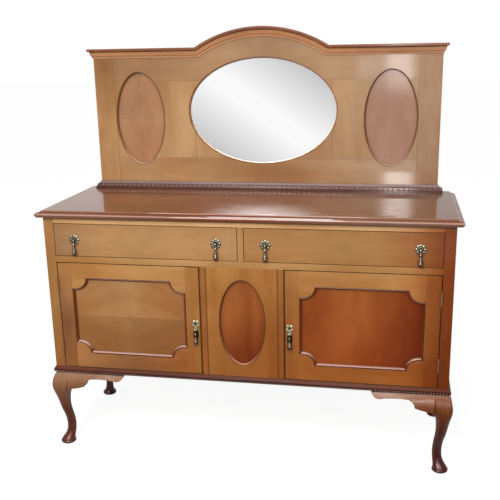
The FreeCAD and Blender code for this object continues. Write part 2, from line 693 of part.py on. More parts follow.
def drop(x, z):
    pear = [
        ("0", "-drop_length", "drop_radius", 1),
        ("drop_radius", "-drop_widest"),
        ("drop_radius * 0.85", "-drop_widest + shoulder_high"),
        ("stem_radius + neck_swell", "-drop_widest + neck_high"),
        ("stem_radius", "-drop_widest + stem_high"),
        ("stem_radius - eye_lap", "-eye_bore - eye_lap"),
        ("0", "-eye_bore - eye_lap"),
    ]
    body = place(turned(pear, "XZ_Plane"), x, "pull_y", z)
    eye = rod("x", "eye_radius", "2 * eye_half", f"{x} - eye_half", "pull_y", z)
    bore = rod("x", "eye_bore", "4 * eye_half", f"{x} - 2 * eye_half", "pull_y", z)
    return cut(fuse(body, eye), bore)


# Drawers
def drawer(side, sign):
    def flip(shape):
        return shape if sign > 0 else mirrored(shape)

    low_x = "divider_width / 2 + drawer_gap"
    high_x = "open_x - drawer_gap"
    front_span = ("front_y", "front_y + drawer_front_thick")
    front = box((low_x, high_x), front_span, ("drawer_z + drawer_gap", "head_z - drawer_gap"))
    node(f"{side}_drawer_front", flip(front))
    box_y = (front_span[1], f"{front_span[1]} + drawer_length")
    side_z = ("drawer_z + runner_clear", "drawer_z + runner_clear + drawer_side_height")
    inner_low = f"{low_x} + drawer_gap + drawer_side_thick"
    inner_high = f"{high_x} - drawer_gap - drawer_side_thick"
    near = box((f"{inner_low} - drawer_side_thick", inner_low), box_y, side_z)
    far = box((inner_high, f"{inner_high} + drawer_side_thick"), box_y, side_z)
    bottom_z = "drawer_z + drawer_bottom_lift"
    floor = box((inner_low, inner_high), box_y, (bottom_z, f"{bottom_z} + drawer_bottom_thick"))
    node(f"{side}_drawer_bottom", flip(floor))
    back_span = (f"{box_y[1]} - drawer_back_thick", box_y[1])
    back = box((inner_low, inner_high), back_span, (f"{bottom_z} + drawer_bottom_thick", side_z[1]))
    node(f"{side}_drawer_sides", flip(group(near, far, back)))
    inner_pull = "divider_width / 2 + pull_inset"
    outer_pull = "open_x - pull_inset"
    node(f"{side}_drawer_rosettes", flip(group(rosette_pull(inner_pull), rosette_pull(outer_pull))))
    node(f"{side}_drawer_inner_drop", flip(drop(inner_pull, "pull_z")))
    node(f"{side}_drawer_outer_drop", flip(drop(outer_pull, "pull_z")))


drawer("right", 1)
drawer("left", -1)


# Doors: framed, with a sunk panel whose opening has stepped quadrant corners
panel_x = ("door_in + door_stile", "door_out - door_stile")
panel_z = ("door_low + door_rail", "door_high - door_rail")


def corner_shapes(grow, y, depth):
    shapes = []
    for x, step in ((panel_x[0], "+"), (panel_x[1], "-")):
        ledge = [x, f"{x} {step} corner_ledge"]
        across = tuple(ledge if step == "+" else reversed(ledge))
        for z in panel_z:
            reach = f"corner_radius + {grow}"
            tall = (f"{z} - ({reach})", f"{z} + {reach}")
            shapes.append(rod("y", reach, depth, ledge[1], y, z))
            shapes.append(box(across, (y, f"{y} + {depth}"), tall))
    return fuse(*shapes)


def door_hinges(is_door):
    door_leaf = ("door_out", "door_out + hinge_leaf_thick")
    leaf_x = door_leaf if is_door else ("open_x - hinge_leaf_thick", "open_x")
    knuckle = "(hinge_length - 2 * knuckle_gap) / 3"
    parts = []
    for foot in ("door_low + hinge_inset", "door_high - hinge_inset - hinge_length"):
        middle = (f"{foot} + {knuckle} + knuckle_gap", f"{foot} + 2 * {knuckle} + knuckle_gap")
        lowest = (foot, f"{foot} + {knuckle}")
        highest = (f"{foot} + hinge_length - {knuckle}", f"{foot} + hinge_length")
        pieces = [box(leaf_x, ("front_y", "front_y + hinge_leaf"), (foot, f"{foot} + hinge_length"))]
        bores = []
        for span in [middle] if is_door else [lowest, highest]:
            pieces.append(box(leaf_x, ("hinge_y", "front_y"), span))
            length = f"({span[1]}) - ({span[0]})"
            pieces.append(rod("z", "knuckle_radius", length, "hinge_x", "hinge_y", span[0]))
            spare = "pin_clear" if is_door else "pin_clear / 7"
            bores.append(rod("z", f"pin_radius + {spare}", length, "hinge_x", "hinge_y", span[0]))
        parts.append(cut(fuse(*pieces), *bores))
    return parts


def hinge_pins():
    feet = ("door_low + hinge_inset", "door_high - hinge_inset - hinge_length")
    return [rod("z", "pin_radius", "hinge_length", "hinge_x", "hinge_y", foot) for foot in feet]


def escutcheon():
    base = "front_y - rosette_thick"
    lobe = flower("plate_x", "plate_z + keyhole_lift", "plate_lobe", "plate_petal", 6)
    foot = flower("plate_x", "plate_z", "plate_foot", "foot_petal", 6)
    waist_x = ("plate_x - plate_waist", "plate_x + plate_waist")
    waist = box(waist_x, (base, "front_y"), ("plate_z", "plate_z + keyhole_lift - keyhole_slot"))
    eye = rod("y", "keyhole_radius", "rosette_thick", "plate_x", base, "plate_z + keyhole_lift")
    slot_x = ("plate_x - keyhole_slot_width / 2", "plate_x + keyhole_slot_width / 2")
    slot_z = ("plate_z + keyhole_lift - keyhole_slot", "plate_z + keyhole_lift")
    slot = box(slot_x, (base, "front_y"), slot_z)
    # The leaf that the drop hangs over
    leaf_z = "plate_z - leaf_drop"
    leaf = oval("leaf_wide", "leaf_high", "leaf_thick", "plate_x", "front_y - leaf_thick", leaf_z, True)
    return fuse(cut(fuse(lobe, waist, foot, leaf), eye, slot), *pull_seat("plate_x", "plate_z"))


def door(side, sign):
    def flip(shape):
        return shape if sign > 0 else mirrored(shape)

    height = ("door_low", "door_high")
    closing = box(("door_in", panel_x[0]), front_slab, height)
    hanging = box((panel_x[1], "door_out"), front_slab, height)
    node(f"{side}_door_stiles", flip(group(closing, hanging)))
    low_rail = box(panel_x, front_slab, ("door_low", panel_z[0]))
    high_rail = box(panel_x, front_slab, (panel_z[1], "door_high"))
    sunk_y = "front_y + panel_set"
    corner_field = box(panel_x, ("front_y", sunk_y), panel_z)
    corners = common(corner_field, corner_shapes("0", "front_y", "panel_set"))
    node(f"{side}_door_rails", flip(group(low_rail, high_rail, corners)))
    panel = box(panel_x, (sunk_y, f"{sunk_y} + panel_thick"), panel_z)
    node(f"{side}_door_panel", flip(panel))
    bead_y = f"{sunk_y} - panel_bead_high"
    outer = cut(box(panel_x, (bead_y, sunk_y), panel_z), corner_shapes("0", bead_y, "panel_bead_high"))
    inner_x = (f"{panel_x[0]} + panel_bead", f"{panel_x[1]} - panel_bead")
    inner_z = (f"{panel_z[0]} + panel_bead", f"{panel_z[1]} - panel_bead")
    inner_corners = corner_shapes("panel_bead", bead_y, "panel_bead_high")
    inner = cut(box(inner_x, (bead_y, sunk_y), inner_z), inner_corners)
    node(f"{side}_door_bead", flip(cut(outer, inner)))
    node(f"{side}_door_hinges", flip(group(*door_hinges(True))))
    node(f"{side}_door_escutcheon", flip(escutcheon()))
    node(f"{side}_door_drop", flip(drop("plate_x", "plate_z")))
    lock_z = "plate_z + keyhole_lift"
    lock_span = (f"{lock_z} - lock_height / 2", f"{lock_z} + lock_height / 2")
    lock = box(("door_in", "door_in + lock_width"), ("inner_y", "inner_y + lock_thick"), lock_span)
    node(f"{side}_door_lock", flip(lock))


door("right", 1)
door("left", -1)

# Fixed halves of the hinges, with their pins
fixed_halves = door_hinges(False) + hinge_pins()
node("post_hinges", group(*fixed_halves, *[mirrored(half) for half in fixed_halves]))

# Every object must have rebuilt, and every sub-part must be a sound solid
doc.recompute()
for thing in doc.Objects:
    if {"Invalid", "Error"} & set(thing.State):
        raise RuntimeError(f"{thing.Name} {thing.Label} did not rebuild: {thing.State}")
for thing in nodes:
    shape = thing.Shape
    if shape.isNull() or not shape.isValid() or not shape.Solids:
        raise RuntimeError(f"{thing.Label} is not a sound solid")

os.makedirs("parts", exist_ok=True)
for thing in nodes:
    thing.Shape.exportStep(f"parts/{thing.Label}.step")
    print(thing.Label, len(thing.Shape.Solids), round(thing.Shape.Volume / 1000, 1))
print(len(nodes), "nodes written")
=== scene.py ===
import bpy
import bmesh
import math
from mathutils import Matrix, Vector


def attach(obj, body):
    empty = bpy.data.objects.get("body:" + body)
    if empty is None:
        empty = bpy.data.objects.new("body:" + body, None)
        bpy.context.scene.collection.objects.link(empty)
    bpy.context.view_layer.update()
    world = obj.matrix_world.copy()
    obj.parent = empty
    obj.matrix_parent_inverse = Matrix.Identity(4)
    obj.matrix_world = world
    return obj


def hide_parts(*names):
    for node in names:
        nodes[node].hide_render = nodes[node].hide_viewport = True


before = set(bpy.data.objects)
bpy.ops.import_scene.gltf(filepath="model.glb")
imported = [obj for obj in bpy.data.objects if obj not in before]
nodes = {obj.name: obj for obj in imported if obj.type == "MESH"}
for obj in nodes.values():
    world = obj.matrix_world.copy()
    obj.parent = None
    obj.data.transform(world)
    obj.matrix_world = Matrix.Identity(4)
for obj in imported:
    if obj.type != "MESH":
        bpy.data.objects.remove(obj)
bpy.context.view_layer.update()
scene = bpy.context.scene
scene.view_settings.view_transform = "Standard"
print("frame loaded:", len(nodes), "nodes")


# node tree helpers
def fill(tree, node, sockets):
    for key, value in sockets.items():
        if isinstance(value, bpy.types.NodeSocket):
            tree.links.new(value, node.inputs[key])
        else:
            node.inputs[key].default_value = value


def addNode(tree, kind, sockets=None, **settings):
    node = tree.nodes.new(kind)
    for name, value in settings.items():
        setattr(node, name, value)
    fill(tree, node, sockets or {})
    return node


def maths(tree, operation, first, second=0.0, clamp=False):
    node = addNode(tree, "ShaderNodeMath", {0: first, 1: second}, operation=operation, use_clamp=clamp)
    return node.outputs[0]


def times(tree, first, second):
    return maths(tree, "MULTIPLY", first, second)


def vectors(tree, operation, first, second):
    node = addNode(tree, "ShaderNodeVectorMath", {0: first, 1: second}, operation=operation)
    return node.outputs["Value" if operation in ("DOT_PRODUCT", "DISTANCE") else "Vector"]


def split(tree, vector):
    return addNode(tree, "ShaderNodeSeparateXYZ", {0: vector}).outputs


def join(tree, parts):
    return addNode(tree, "ShaderNodeCombineXYZ", dict(enumerate(parts))).outputs[0]


def spotOf(tree):  # the place on the piece, in metres
    return addNode(tree, "ShaderNodeTexCoord").outputs["Object"]


def normalOf(tree):
    return addNode(tree, "ShaderNodeNewGeometry").outputs["Normal"]


def blend(tree, factor, first, second, mode="MIX"):
    sockets = {0: factor, 6: first, 7: second}
    return addNode(tree, "ShaderNodeMix", sockets, data_type="RGBA", blend_type=mode).outputs[2]


def remap(tree, value, low, high, toLow=0.0, toHigh=1.0):
    sockets = {"Value": value, "From Min": low, "From Max": high, "To Min": toLow, "To Max": toHigh}
    return addNode(tree, "ShaderNodeMapRange", sockets, clamp=True).outputs[0]


def noise(tree, vector, scale, detail=2.0, rough=0.5):
    sockets = {"Vector": vector, "Scale": scale, "Detail": detail, "Roughness": rough}
    return addNode(tree, "ShaderNodeTexNoise", sockets).outputs


def bump(tree, strength, depth, height, normal):
    sockets = {"Strength": strength, "Distance": depth, "Height": height, "Normal": normal}
    return addNode(tree, "ShaderNodeBump", sockets).outputs[0]


def newGroup(name, inputs, outputs):
    tree = bpy.data.node_groups.new(name, "ShaderNodeTree")
    for label, kind, value in inputs:
        socket = tree.interface.new_socket(label, in_out="INPUT", socket_type="NodeSocket" + kind)
        socket.default_value = value
    for label, kind in outputs:
        tree.interface.new_socket(label, in_out="OUTPUT", socket_type="NodeSocket" + kind)
    return tree, tree.nodes.new("NodeGroupInput").outputs, tree.nodes.new("NodeGroupOutput")


def useGroup(tree, group, sockets):
    return addNode(tree, "ShaderNodeGroup", sockets, node_tree=group).outputs


def tone(code):  # a colour as it is seen on a screen, or a plain multiplier
    if not isinstance(code, str):
        return tuple(code) + (1.0,)
    values = [int(code[i:i + 2], 16) / 255 for i in (0, 2, 4)]
    return tuple(v / 12.92 if v < 0.04045 else ((v + 0.055) / 1.055) ** 2.4 for v in values) + (1.0,)


def deepen(colour, share):
    return tuple(c * share for c in colour[:3]) + (1.0,)


# In the looks below a noise is scale, detail and roughness, and a span is from, to and what they become.
white, nowhere = (1, 1, 1, 1), (0, 0, 0)

# wood grain that runs along the first axis of the vector
grainLook = {"bend": 3.2, "fine": 9.0, "band": (3.0, 0.55), "streak": (5.0, 0.62),
             "pore": (1150.0, 1.0, 0.4), "bandSpan": (0.32, 0.68), "streakSpan": (0.34, 0.66),
             "poreSpan": (0.58, 0.72)}


def makeGrain():
    g = grainLook
    inputs = [("Vector", "Vector", nowhere), ("Length", "Float", 12.0), ("Figure", "Float", 14.0),
              ("Wander", "Float", 0.02)]
    outputs = [("Band", "Float"), ("Streak", "Float"), ("Pore", "Float")]
    tree, given, result = newGroup("woodGrain", inputs, outputs)
    shorten = join(tree, (maths(tree, "DIVIDE", 1.0, given["Length"]), 1.0, 1.0))
    drawn = vectors(tree, "MULTIPLY", given["Vector"], shorten)
    sway = vectors(tree, "SUBTRACT", noise(tree, given["Vector"], g["bend"])["Color"], (0.5, 0.5, 0.5))
    swayed = addNode(tree, "ShaderNodeVectorMath", {0: sway, "Scale": given["Wander"]}, operation="SCALE")
    path = vectors(tree, "ADD", drawn, swayed.outputs[0])
    band = noise(tree, path, given["Figure"], *g["band"])[0]
    streak = noise(tree, path, times(tree, given["Figure"], g["fine"]), *g["streak"])[0]
    pore = noise(tree, path, *g["pore"])[0]
    fill(tree, result, {"Band": remap(tree, band, *g["bandSpan"]), "Pore": remap(tree, pore, *g["poreSpan"]),
                        "Streak": remap(tree, streak, *g["streakSpan"])})
    return tree


# rubbed edges, with the softened normal of a worn arris
edgeLook = {"radius": 0.0015, "samples": 4, "patch": (38.0, 3.0), "turnSpan": (0.015, 0.2),
            "patchSpan": (0.3, 0.65)}


def makeEdge():
    g = edgeLook
    inputs = [("Radius", "Float", g["radius"]), ("Vector", "Vector", nowhere)]
    tree, given, result = newGroup("rubbedEdge", inputs, [("Edge", "Float"), ("Normal", "Vector")])
    soft = addNode(tree, "ShaderNodeBevel", {"Radius": given["Radius"]}, samples=g["samples"]).outputs[0]
    turn = maths(tree, "SUBTRACT", 1.0, vectors(tree, "DOT_PRODUCT", soft, normalOf(tree)))
    patch = noise(tree, given["Vector"], *g["patch"])[0]
    mask = times(tree, remap(tree, turn, *g["turnSpan"]), remap(tree, patch, *g["patchSpan"]))
    fill(tree, result, {"Edge": mask, "Normal": soft})
    return tree


# painted shade in corners, quirks and gaps, found by ambient occlusion, together with old wax and dust; on
# metal it is the tarnish in hollows
shadeWaxLook = {"reach": 0.012, "samples": 6, "patch": (26.0, 3.0), "depthSpan": (0.95, 0.3),
              "patchSpan": (0.2, 0.7, 0.6, 1.0)}


def makeShadeWax():
    g = shadeWaxLook
    inputs = [("Reach", "Float", g["reach"]), ("Vector", "Vector", nowhere)]
    tree, given, result = newGroup("cornerShadeWax", inputs, [("ShadeWax", "Float")])
    close = addNode(tree, "ShaderNodeAmbientOcclusion", {"Distance": given["Reach"]}, samples=g["samples"])
    depth = remap(tree, close.outputs["AO"], *g["depthSpan"])
    patch = remap(tree, noise(tree, given["Vector"], *g["patch"])[0], *g["patchSpan"])
    fill(tree, result, {"ShadeWax": times(tree, depth, patch)})
    return tree


# hand rubbed polish: cloudy gloss and faint scuffs
polishLook = {"cloud": (7.0, 4.0, 0.6), "cloudShare": 0.7, "scuff": (6.0, 3.0), "scuffDraw": (40, 40, 8),
              "scuffShare": 0.3, "span": (0.3, 0.7)}


def makePolish():
    g = polishLook
    inputs = [("Vector", "Vector", nowhere), ("Dull", "Float", 0.5), ("Bright", "Float", 0.3)]
    tree, given, result = newGroup("rubbedPolish", inputs, [("Roughness", "Float"), ("Cloud", "Float")])
    cloud = noise(tree, given["Vector"], *g["cloud"])[0]
    scuff = noise(tree, vectors(tree, "MULTIPLY", given["Vector"], g["scuffDraw"]), *g["scuff"])[0]
    mixed = maths(tree, "ADD", times(tree, cloud, g["cloudShare"]), times(tree, scuff, g["scuffShare"]))
    gloss = remap(tree, mixed, *g["span"], given["Bright"], given["Dull"])
    fill(tree, result, {"Roughness": gloss, "Cloud": cloud})
    return tree


tintInputs = [("Vector", "Vector", nowhere), ("Color", "Color", white), ("Amount", "Float", 1.0)]
# the carcass mellowed to a redder brown, and painted shade: darker and redder low down and towards its ends,
# most at its right end
mellowShadeLook = {"tint": (0.76, 0.40, 0.17), "rightTint": (0.69, 0.53, 0.50), "drift": 4.0, "driftShare": 0.3,
              "lowSpan": (0.8, 0.36), "acrossSpan": (-0.75, 0.6, 0.4, 1.0), "rightSpan": (0.48, 0.72),
              "leftSpan": (-0.5, -0.74, 0.0, 0.22), "highSpan": (1.0, 0.9), "deepSpan": (0.6, 0.71)}


def makeMellowShade():
    g = mellowShadeLook
    tree, given, result = newGroup("mellowingAndShade", tintInputs, [("Color", "Color")])
    parts = split(tree, given["Vector"])
    x, z = parts[0], parts[2]
    drift = maths(tree, "SUBTRACT", noise(tree, given["Vector"], g["drift"])[0], 0.5)
    low = times(tree, remap(tree, z, *g["lowSpan"]), remap(tree, x, *g["acrossSpan"]))
    ends = maths(tree, "MAXIMUM", remap(tree, x, *g["rightSpan"]), remap(tree, x, *g["leftSpan"]))
    ends = times(tree, ends, remap(tree, z, *g["highSpan"]))
    drifted = times(tree, times(tree, drift, g["driftShare"]), low)
    share = maths(tree, "ADD", maths(tree, "MAXIMUM", low, ends), drifted, clamp=True)
    colour = blend(tree, times(tree, share, given["Amount"]), given["Color"], tone(g["tint"]), "MULTIPLY")
    deepest = times(tree, remap(tree, x, *g["deepSpan"]), given["Amount"])
    fill(tree, result, {"Color": blend(tree, deepest, colour, tone(g["rightTint"]), "MULTIPLY")})
    return tree


# wood that has aged unevenly: ruddy clouds and paler ones
ageLook = {"draw": (0.5, 1.0, 1.0), "shift": (3.1, 1.7, 5.3), "ruddy": (5.0, 3.0, 0.55), "pale": (7.0, 2.0),
           "ruddySpan": (0.46, 0.68, 0.0, 0.8), "paleSpan": (0.5, 0.72, 0.0, 0.75),
           "ruddyTint": (0.82, 0.64, 0.48), "paleTint": (1.20, 1.24, 1.30)}


def makeAge():
    g = ageLook
    tree, given, result = newGroup("unevenAge", tintInputs, [("Color", "Color")])
    drawn = vectors(tree, "MULTIPLY", given["Vector"], g["draw"])
    colour = given["Color"]
    for cloud, place in (("ruddy", drawn), ("pale", vectors(tree, "ADD", drawn, g["shift"]))):
        share = remap(tree, noise(tree, place, *g[cloud])[0], *g[cloud + "Span"])
        share = times(tree, share, given["Amount"])
        colour = blend(tree, share, colour, tone(g[cloud + "Tint"]), "MULTIPLY")
    fill(tree, result, {"Color": colour})
    return tree


grainGroup, edgeGroup, shadeWaxGroup, polishGroup = makeGrain(), makeEdge(), makeShadeWax(), makePolish()
mellowShadeGroup, ageGroup = makeMellowShade(), makeAge()
axisOrder = {"x": (0, 1, 2), "z": (2, 1, 0)}  # puts the grain on the first axis


def newFinish(name):
    finish = bpy.data.materials.new(name)
    finish.use_nodes = True
    tree = finish.node_tree
    return finish, tree, tree.nodes["Principled BSDF"]


# what all wood finishes share: how much darker their marks are, and how deep the figure stands
woodLook = {"deep": 0.62, "pore": 0.3, "jointAndGapShade": 0.28, "shadeWax": 0.2, "rubbed": 1.5, "rubbedLift": 0.02,
            "cloudSpan": (0.35, 0.65, 0.2, 0.0), "sideSpan": (0.95, 0.6), "upwardSheenSpan": (0.25, 0.7),
            "lineCore": 0.4, "swell": (2.6, 1.0), "swellDepth": 0.0035, "streakRise": 0.3,
            "figureDepth": 0.0003, "figureBump": 0.25}


# one wood finish; grain is the axis it runs along, fold the middle of a matched veneer, tilt turns the grain
def woodFinish(name, light, dark, grain="x", fold=None, foldAxes="xz", tilt=0.0, quarter=None, length=14.0,
               figure=15.0, wander=0.03, streak=0.2, pores=0.2, bright=0.28, dull=0.42, coat=0.55,
               coatRough=0.1, wear=0.35, shadeWax=0.75, reach=0.012, lines=(), lineWidth=0.0017, lineDark=0.8,
               base=0.2, mellowShade=0.0, side=None, upwardSheen=None, fades=(), patches=(), age=1.0):
    g = woodLook
    finish, tree, shader = newFinish(name)
    spot = spotOf(tree)
    vector = spot
    if fold:
        moved = addNode(tree, "ShaderNodeMapping", {"Vector": spot, "Location": tuple(-c for c in fold)})
        parts = split(tree, moved.outputs[0])
        onRight, above = (maths(tree, "GREATER_THAN", parts[i]) for i in (0, 2))
        vector = join(tree, [maths(tree, "ABSOLUTE", part) if axis in foldAxes else part
                             for axis, part in zip("xyz", parts)])
    if tilt:
        sockets = {"Vector": vector, "Rotation": (0, math.radians(tilt), 0)}
        vector = addNode(tree, "ShaderNodeMapping", sockets).outputs[0]
    parts = split(tree, vector)
    turned = join(tree, [parts[i] for i in axisOrder[grain]])
    sockets = {"Vector": turned, "Length": length, "Figure": figure, "Wander": wander}
    wood = useGroup(tree, grainGroup, sockets)
    edge = useGroup(tree, edgeGroup, {"Vector": spot})
    corner = useGroup(tree, shadeWaxGroup, {"Vector": spot, "Reach": reach})
    polish = useGroup(tree, polishGroup, {"Vector": spot, "Dull": dull, "Bright": bright})
    lightTone, darkTone = tone(light), tone(dark)
    deep, poreTone, jointAndGapShade, shadeWaxTone = (deepen(darkTone, g[mark]) for mark in ("deep", "pore", "jointAndGapShade", "shadeWax"))
    colour = blend(tree, wood["Band"], darkTone, lightTone)
    colour = blend(tree, times(tree, wood["Streak"], streak), colour, deep)
    colour = blend(tree, times(tree, wood["Pore"], pores), colour, poreTone)
    colour = blend(tree, remap(tree, polish["Cloud"], *g["cloudSpan"]), colour, deep)  # soft darker clouds
    colour = useGroup(tree, ageGroup, {"Vector": turned, "Color": colour, "Amount": age})["Color"]
    if quarter:  # how dark each leaf of the veneer is: top left, top right, bottom left, bottom right; the leaves differ in tone, and this is also painted sheen, as each leaf's grain catches the light differently
        upper, lower = (remap(tree, onRight, 0.0, 1.0, *pair) for pair in (quarter[:2], quarter[2:]))
        leaf = addNode(tree, "ShaderNodeMix", {0: above, 2: lower, 3: upper}, data_type="FLOAT").outputs[0]
        colour = blend(tree, leaf, colour, deep)
    facing = split(tree, normalOf(tree))[2]
    if side:  # painted light: upright faces of a moulded edge given a colour of their own, as if lit from the front
        upright = remap(tree, maths(tree, "ABSOLUTE", facing), *g["sideSpan"])
        colour = blend(tree, upright, colour, tone(side))
    if upwardSheen:  # painted highlight: faces of a moulding that look up made pale, as if they caught light from above
        colour = blend(tree, remap(tree, facing, *g["upwardSheenSpan"]), colour, tone(upwardSheen))
    along = dict(zip("xyz", split(tree, spot)))
    for axis, start, end, tint in fades:  # changes of tone along one axis; most are painted light and shade: darker low down, towards an end and under an edge; paler and bluer where a sheen falls
        colour = blend(tree, remap(tree, along[axis], start, end), colour, tone(tint), "MULTIPLY")
    for centre, radius, tint in patches:  # broad patches of painted light and shade on the polish: sheen, reflections, highlights and darker pools
        near = remap(tree, vectors(tree, "DISTANCE", spot, centre), radius, 0.0)
        colour = blend(tree, near, colour, tone(tint), "MULTIPLY")
    for axis, places, *wide in lines:  # hairline joints, and painted shade in the gaps beside the drawers and doors and under the top's nosing
        width = wide[0] if wide else lineWidth
        for place in places:
            gap = maths(tree, "SUBTRACT", maths(tree, "ABSOLUTE", along[axis]), place)
            mark = remap(tree, maths(tree, "ABSOLUTE", gap), width, width * g["lineCore"], 0.0, lineDark)
            colour = blend(tree, mark, colour, jointAndGapShade)
    # painted shade with a mellowed tint: darker and redder low down and towards the ends
    if mellowShade:
        colour = useGroup(tree, mellowShadeGroup, {"Vector": spot, "Color": colour, "Amount": mellowShade})["Color"]
    rubbed = tuple(min(1.0, c * g["rubbed"] + g["rubbedLift"]) for c in lightTone[:3]) + (1.0,)
    colour = blend(tree, times(tree, edge["Edge"], wear), colour, rubbed)
    # painted shade from ambient occlusion, with old wax, darkens corners and gaps
    colour = blend(tree, times(tree, corner["ShadeWax"], shadeWax), colour, shadeWaxTone)
    swell = noise(tree, turned, *g["swell"])[0]  # boards that have moved a little with age
    flat = bump(tree, 1.0, g["swellDepth"], swell, edge["Normal"])
    rise = maths(tree, "SUBTRACT", times(tree, wood["Streak"], g["streakRise"]), wood["Pore"])
    fill(tree, shader, {"Base Color": colour, "Roughness": polish["Roughness"], "Specular IOR Level": base,
                        "Normal": bump(tree, g["figureBump"], g["figureDepth"], rise, flat),
                        "Coat Weight": coat, "Coat Roughness": coatRough})
    return finish
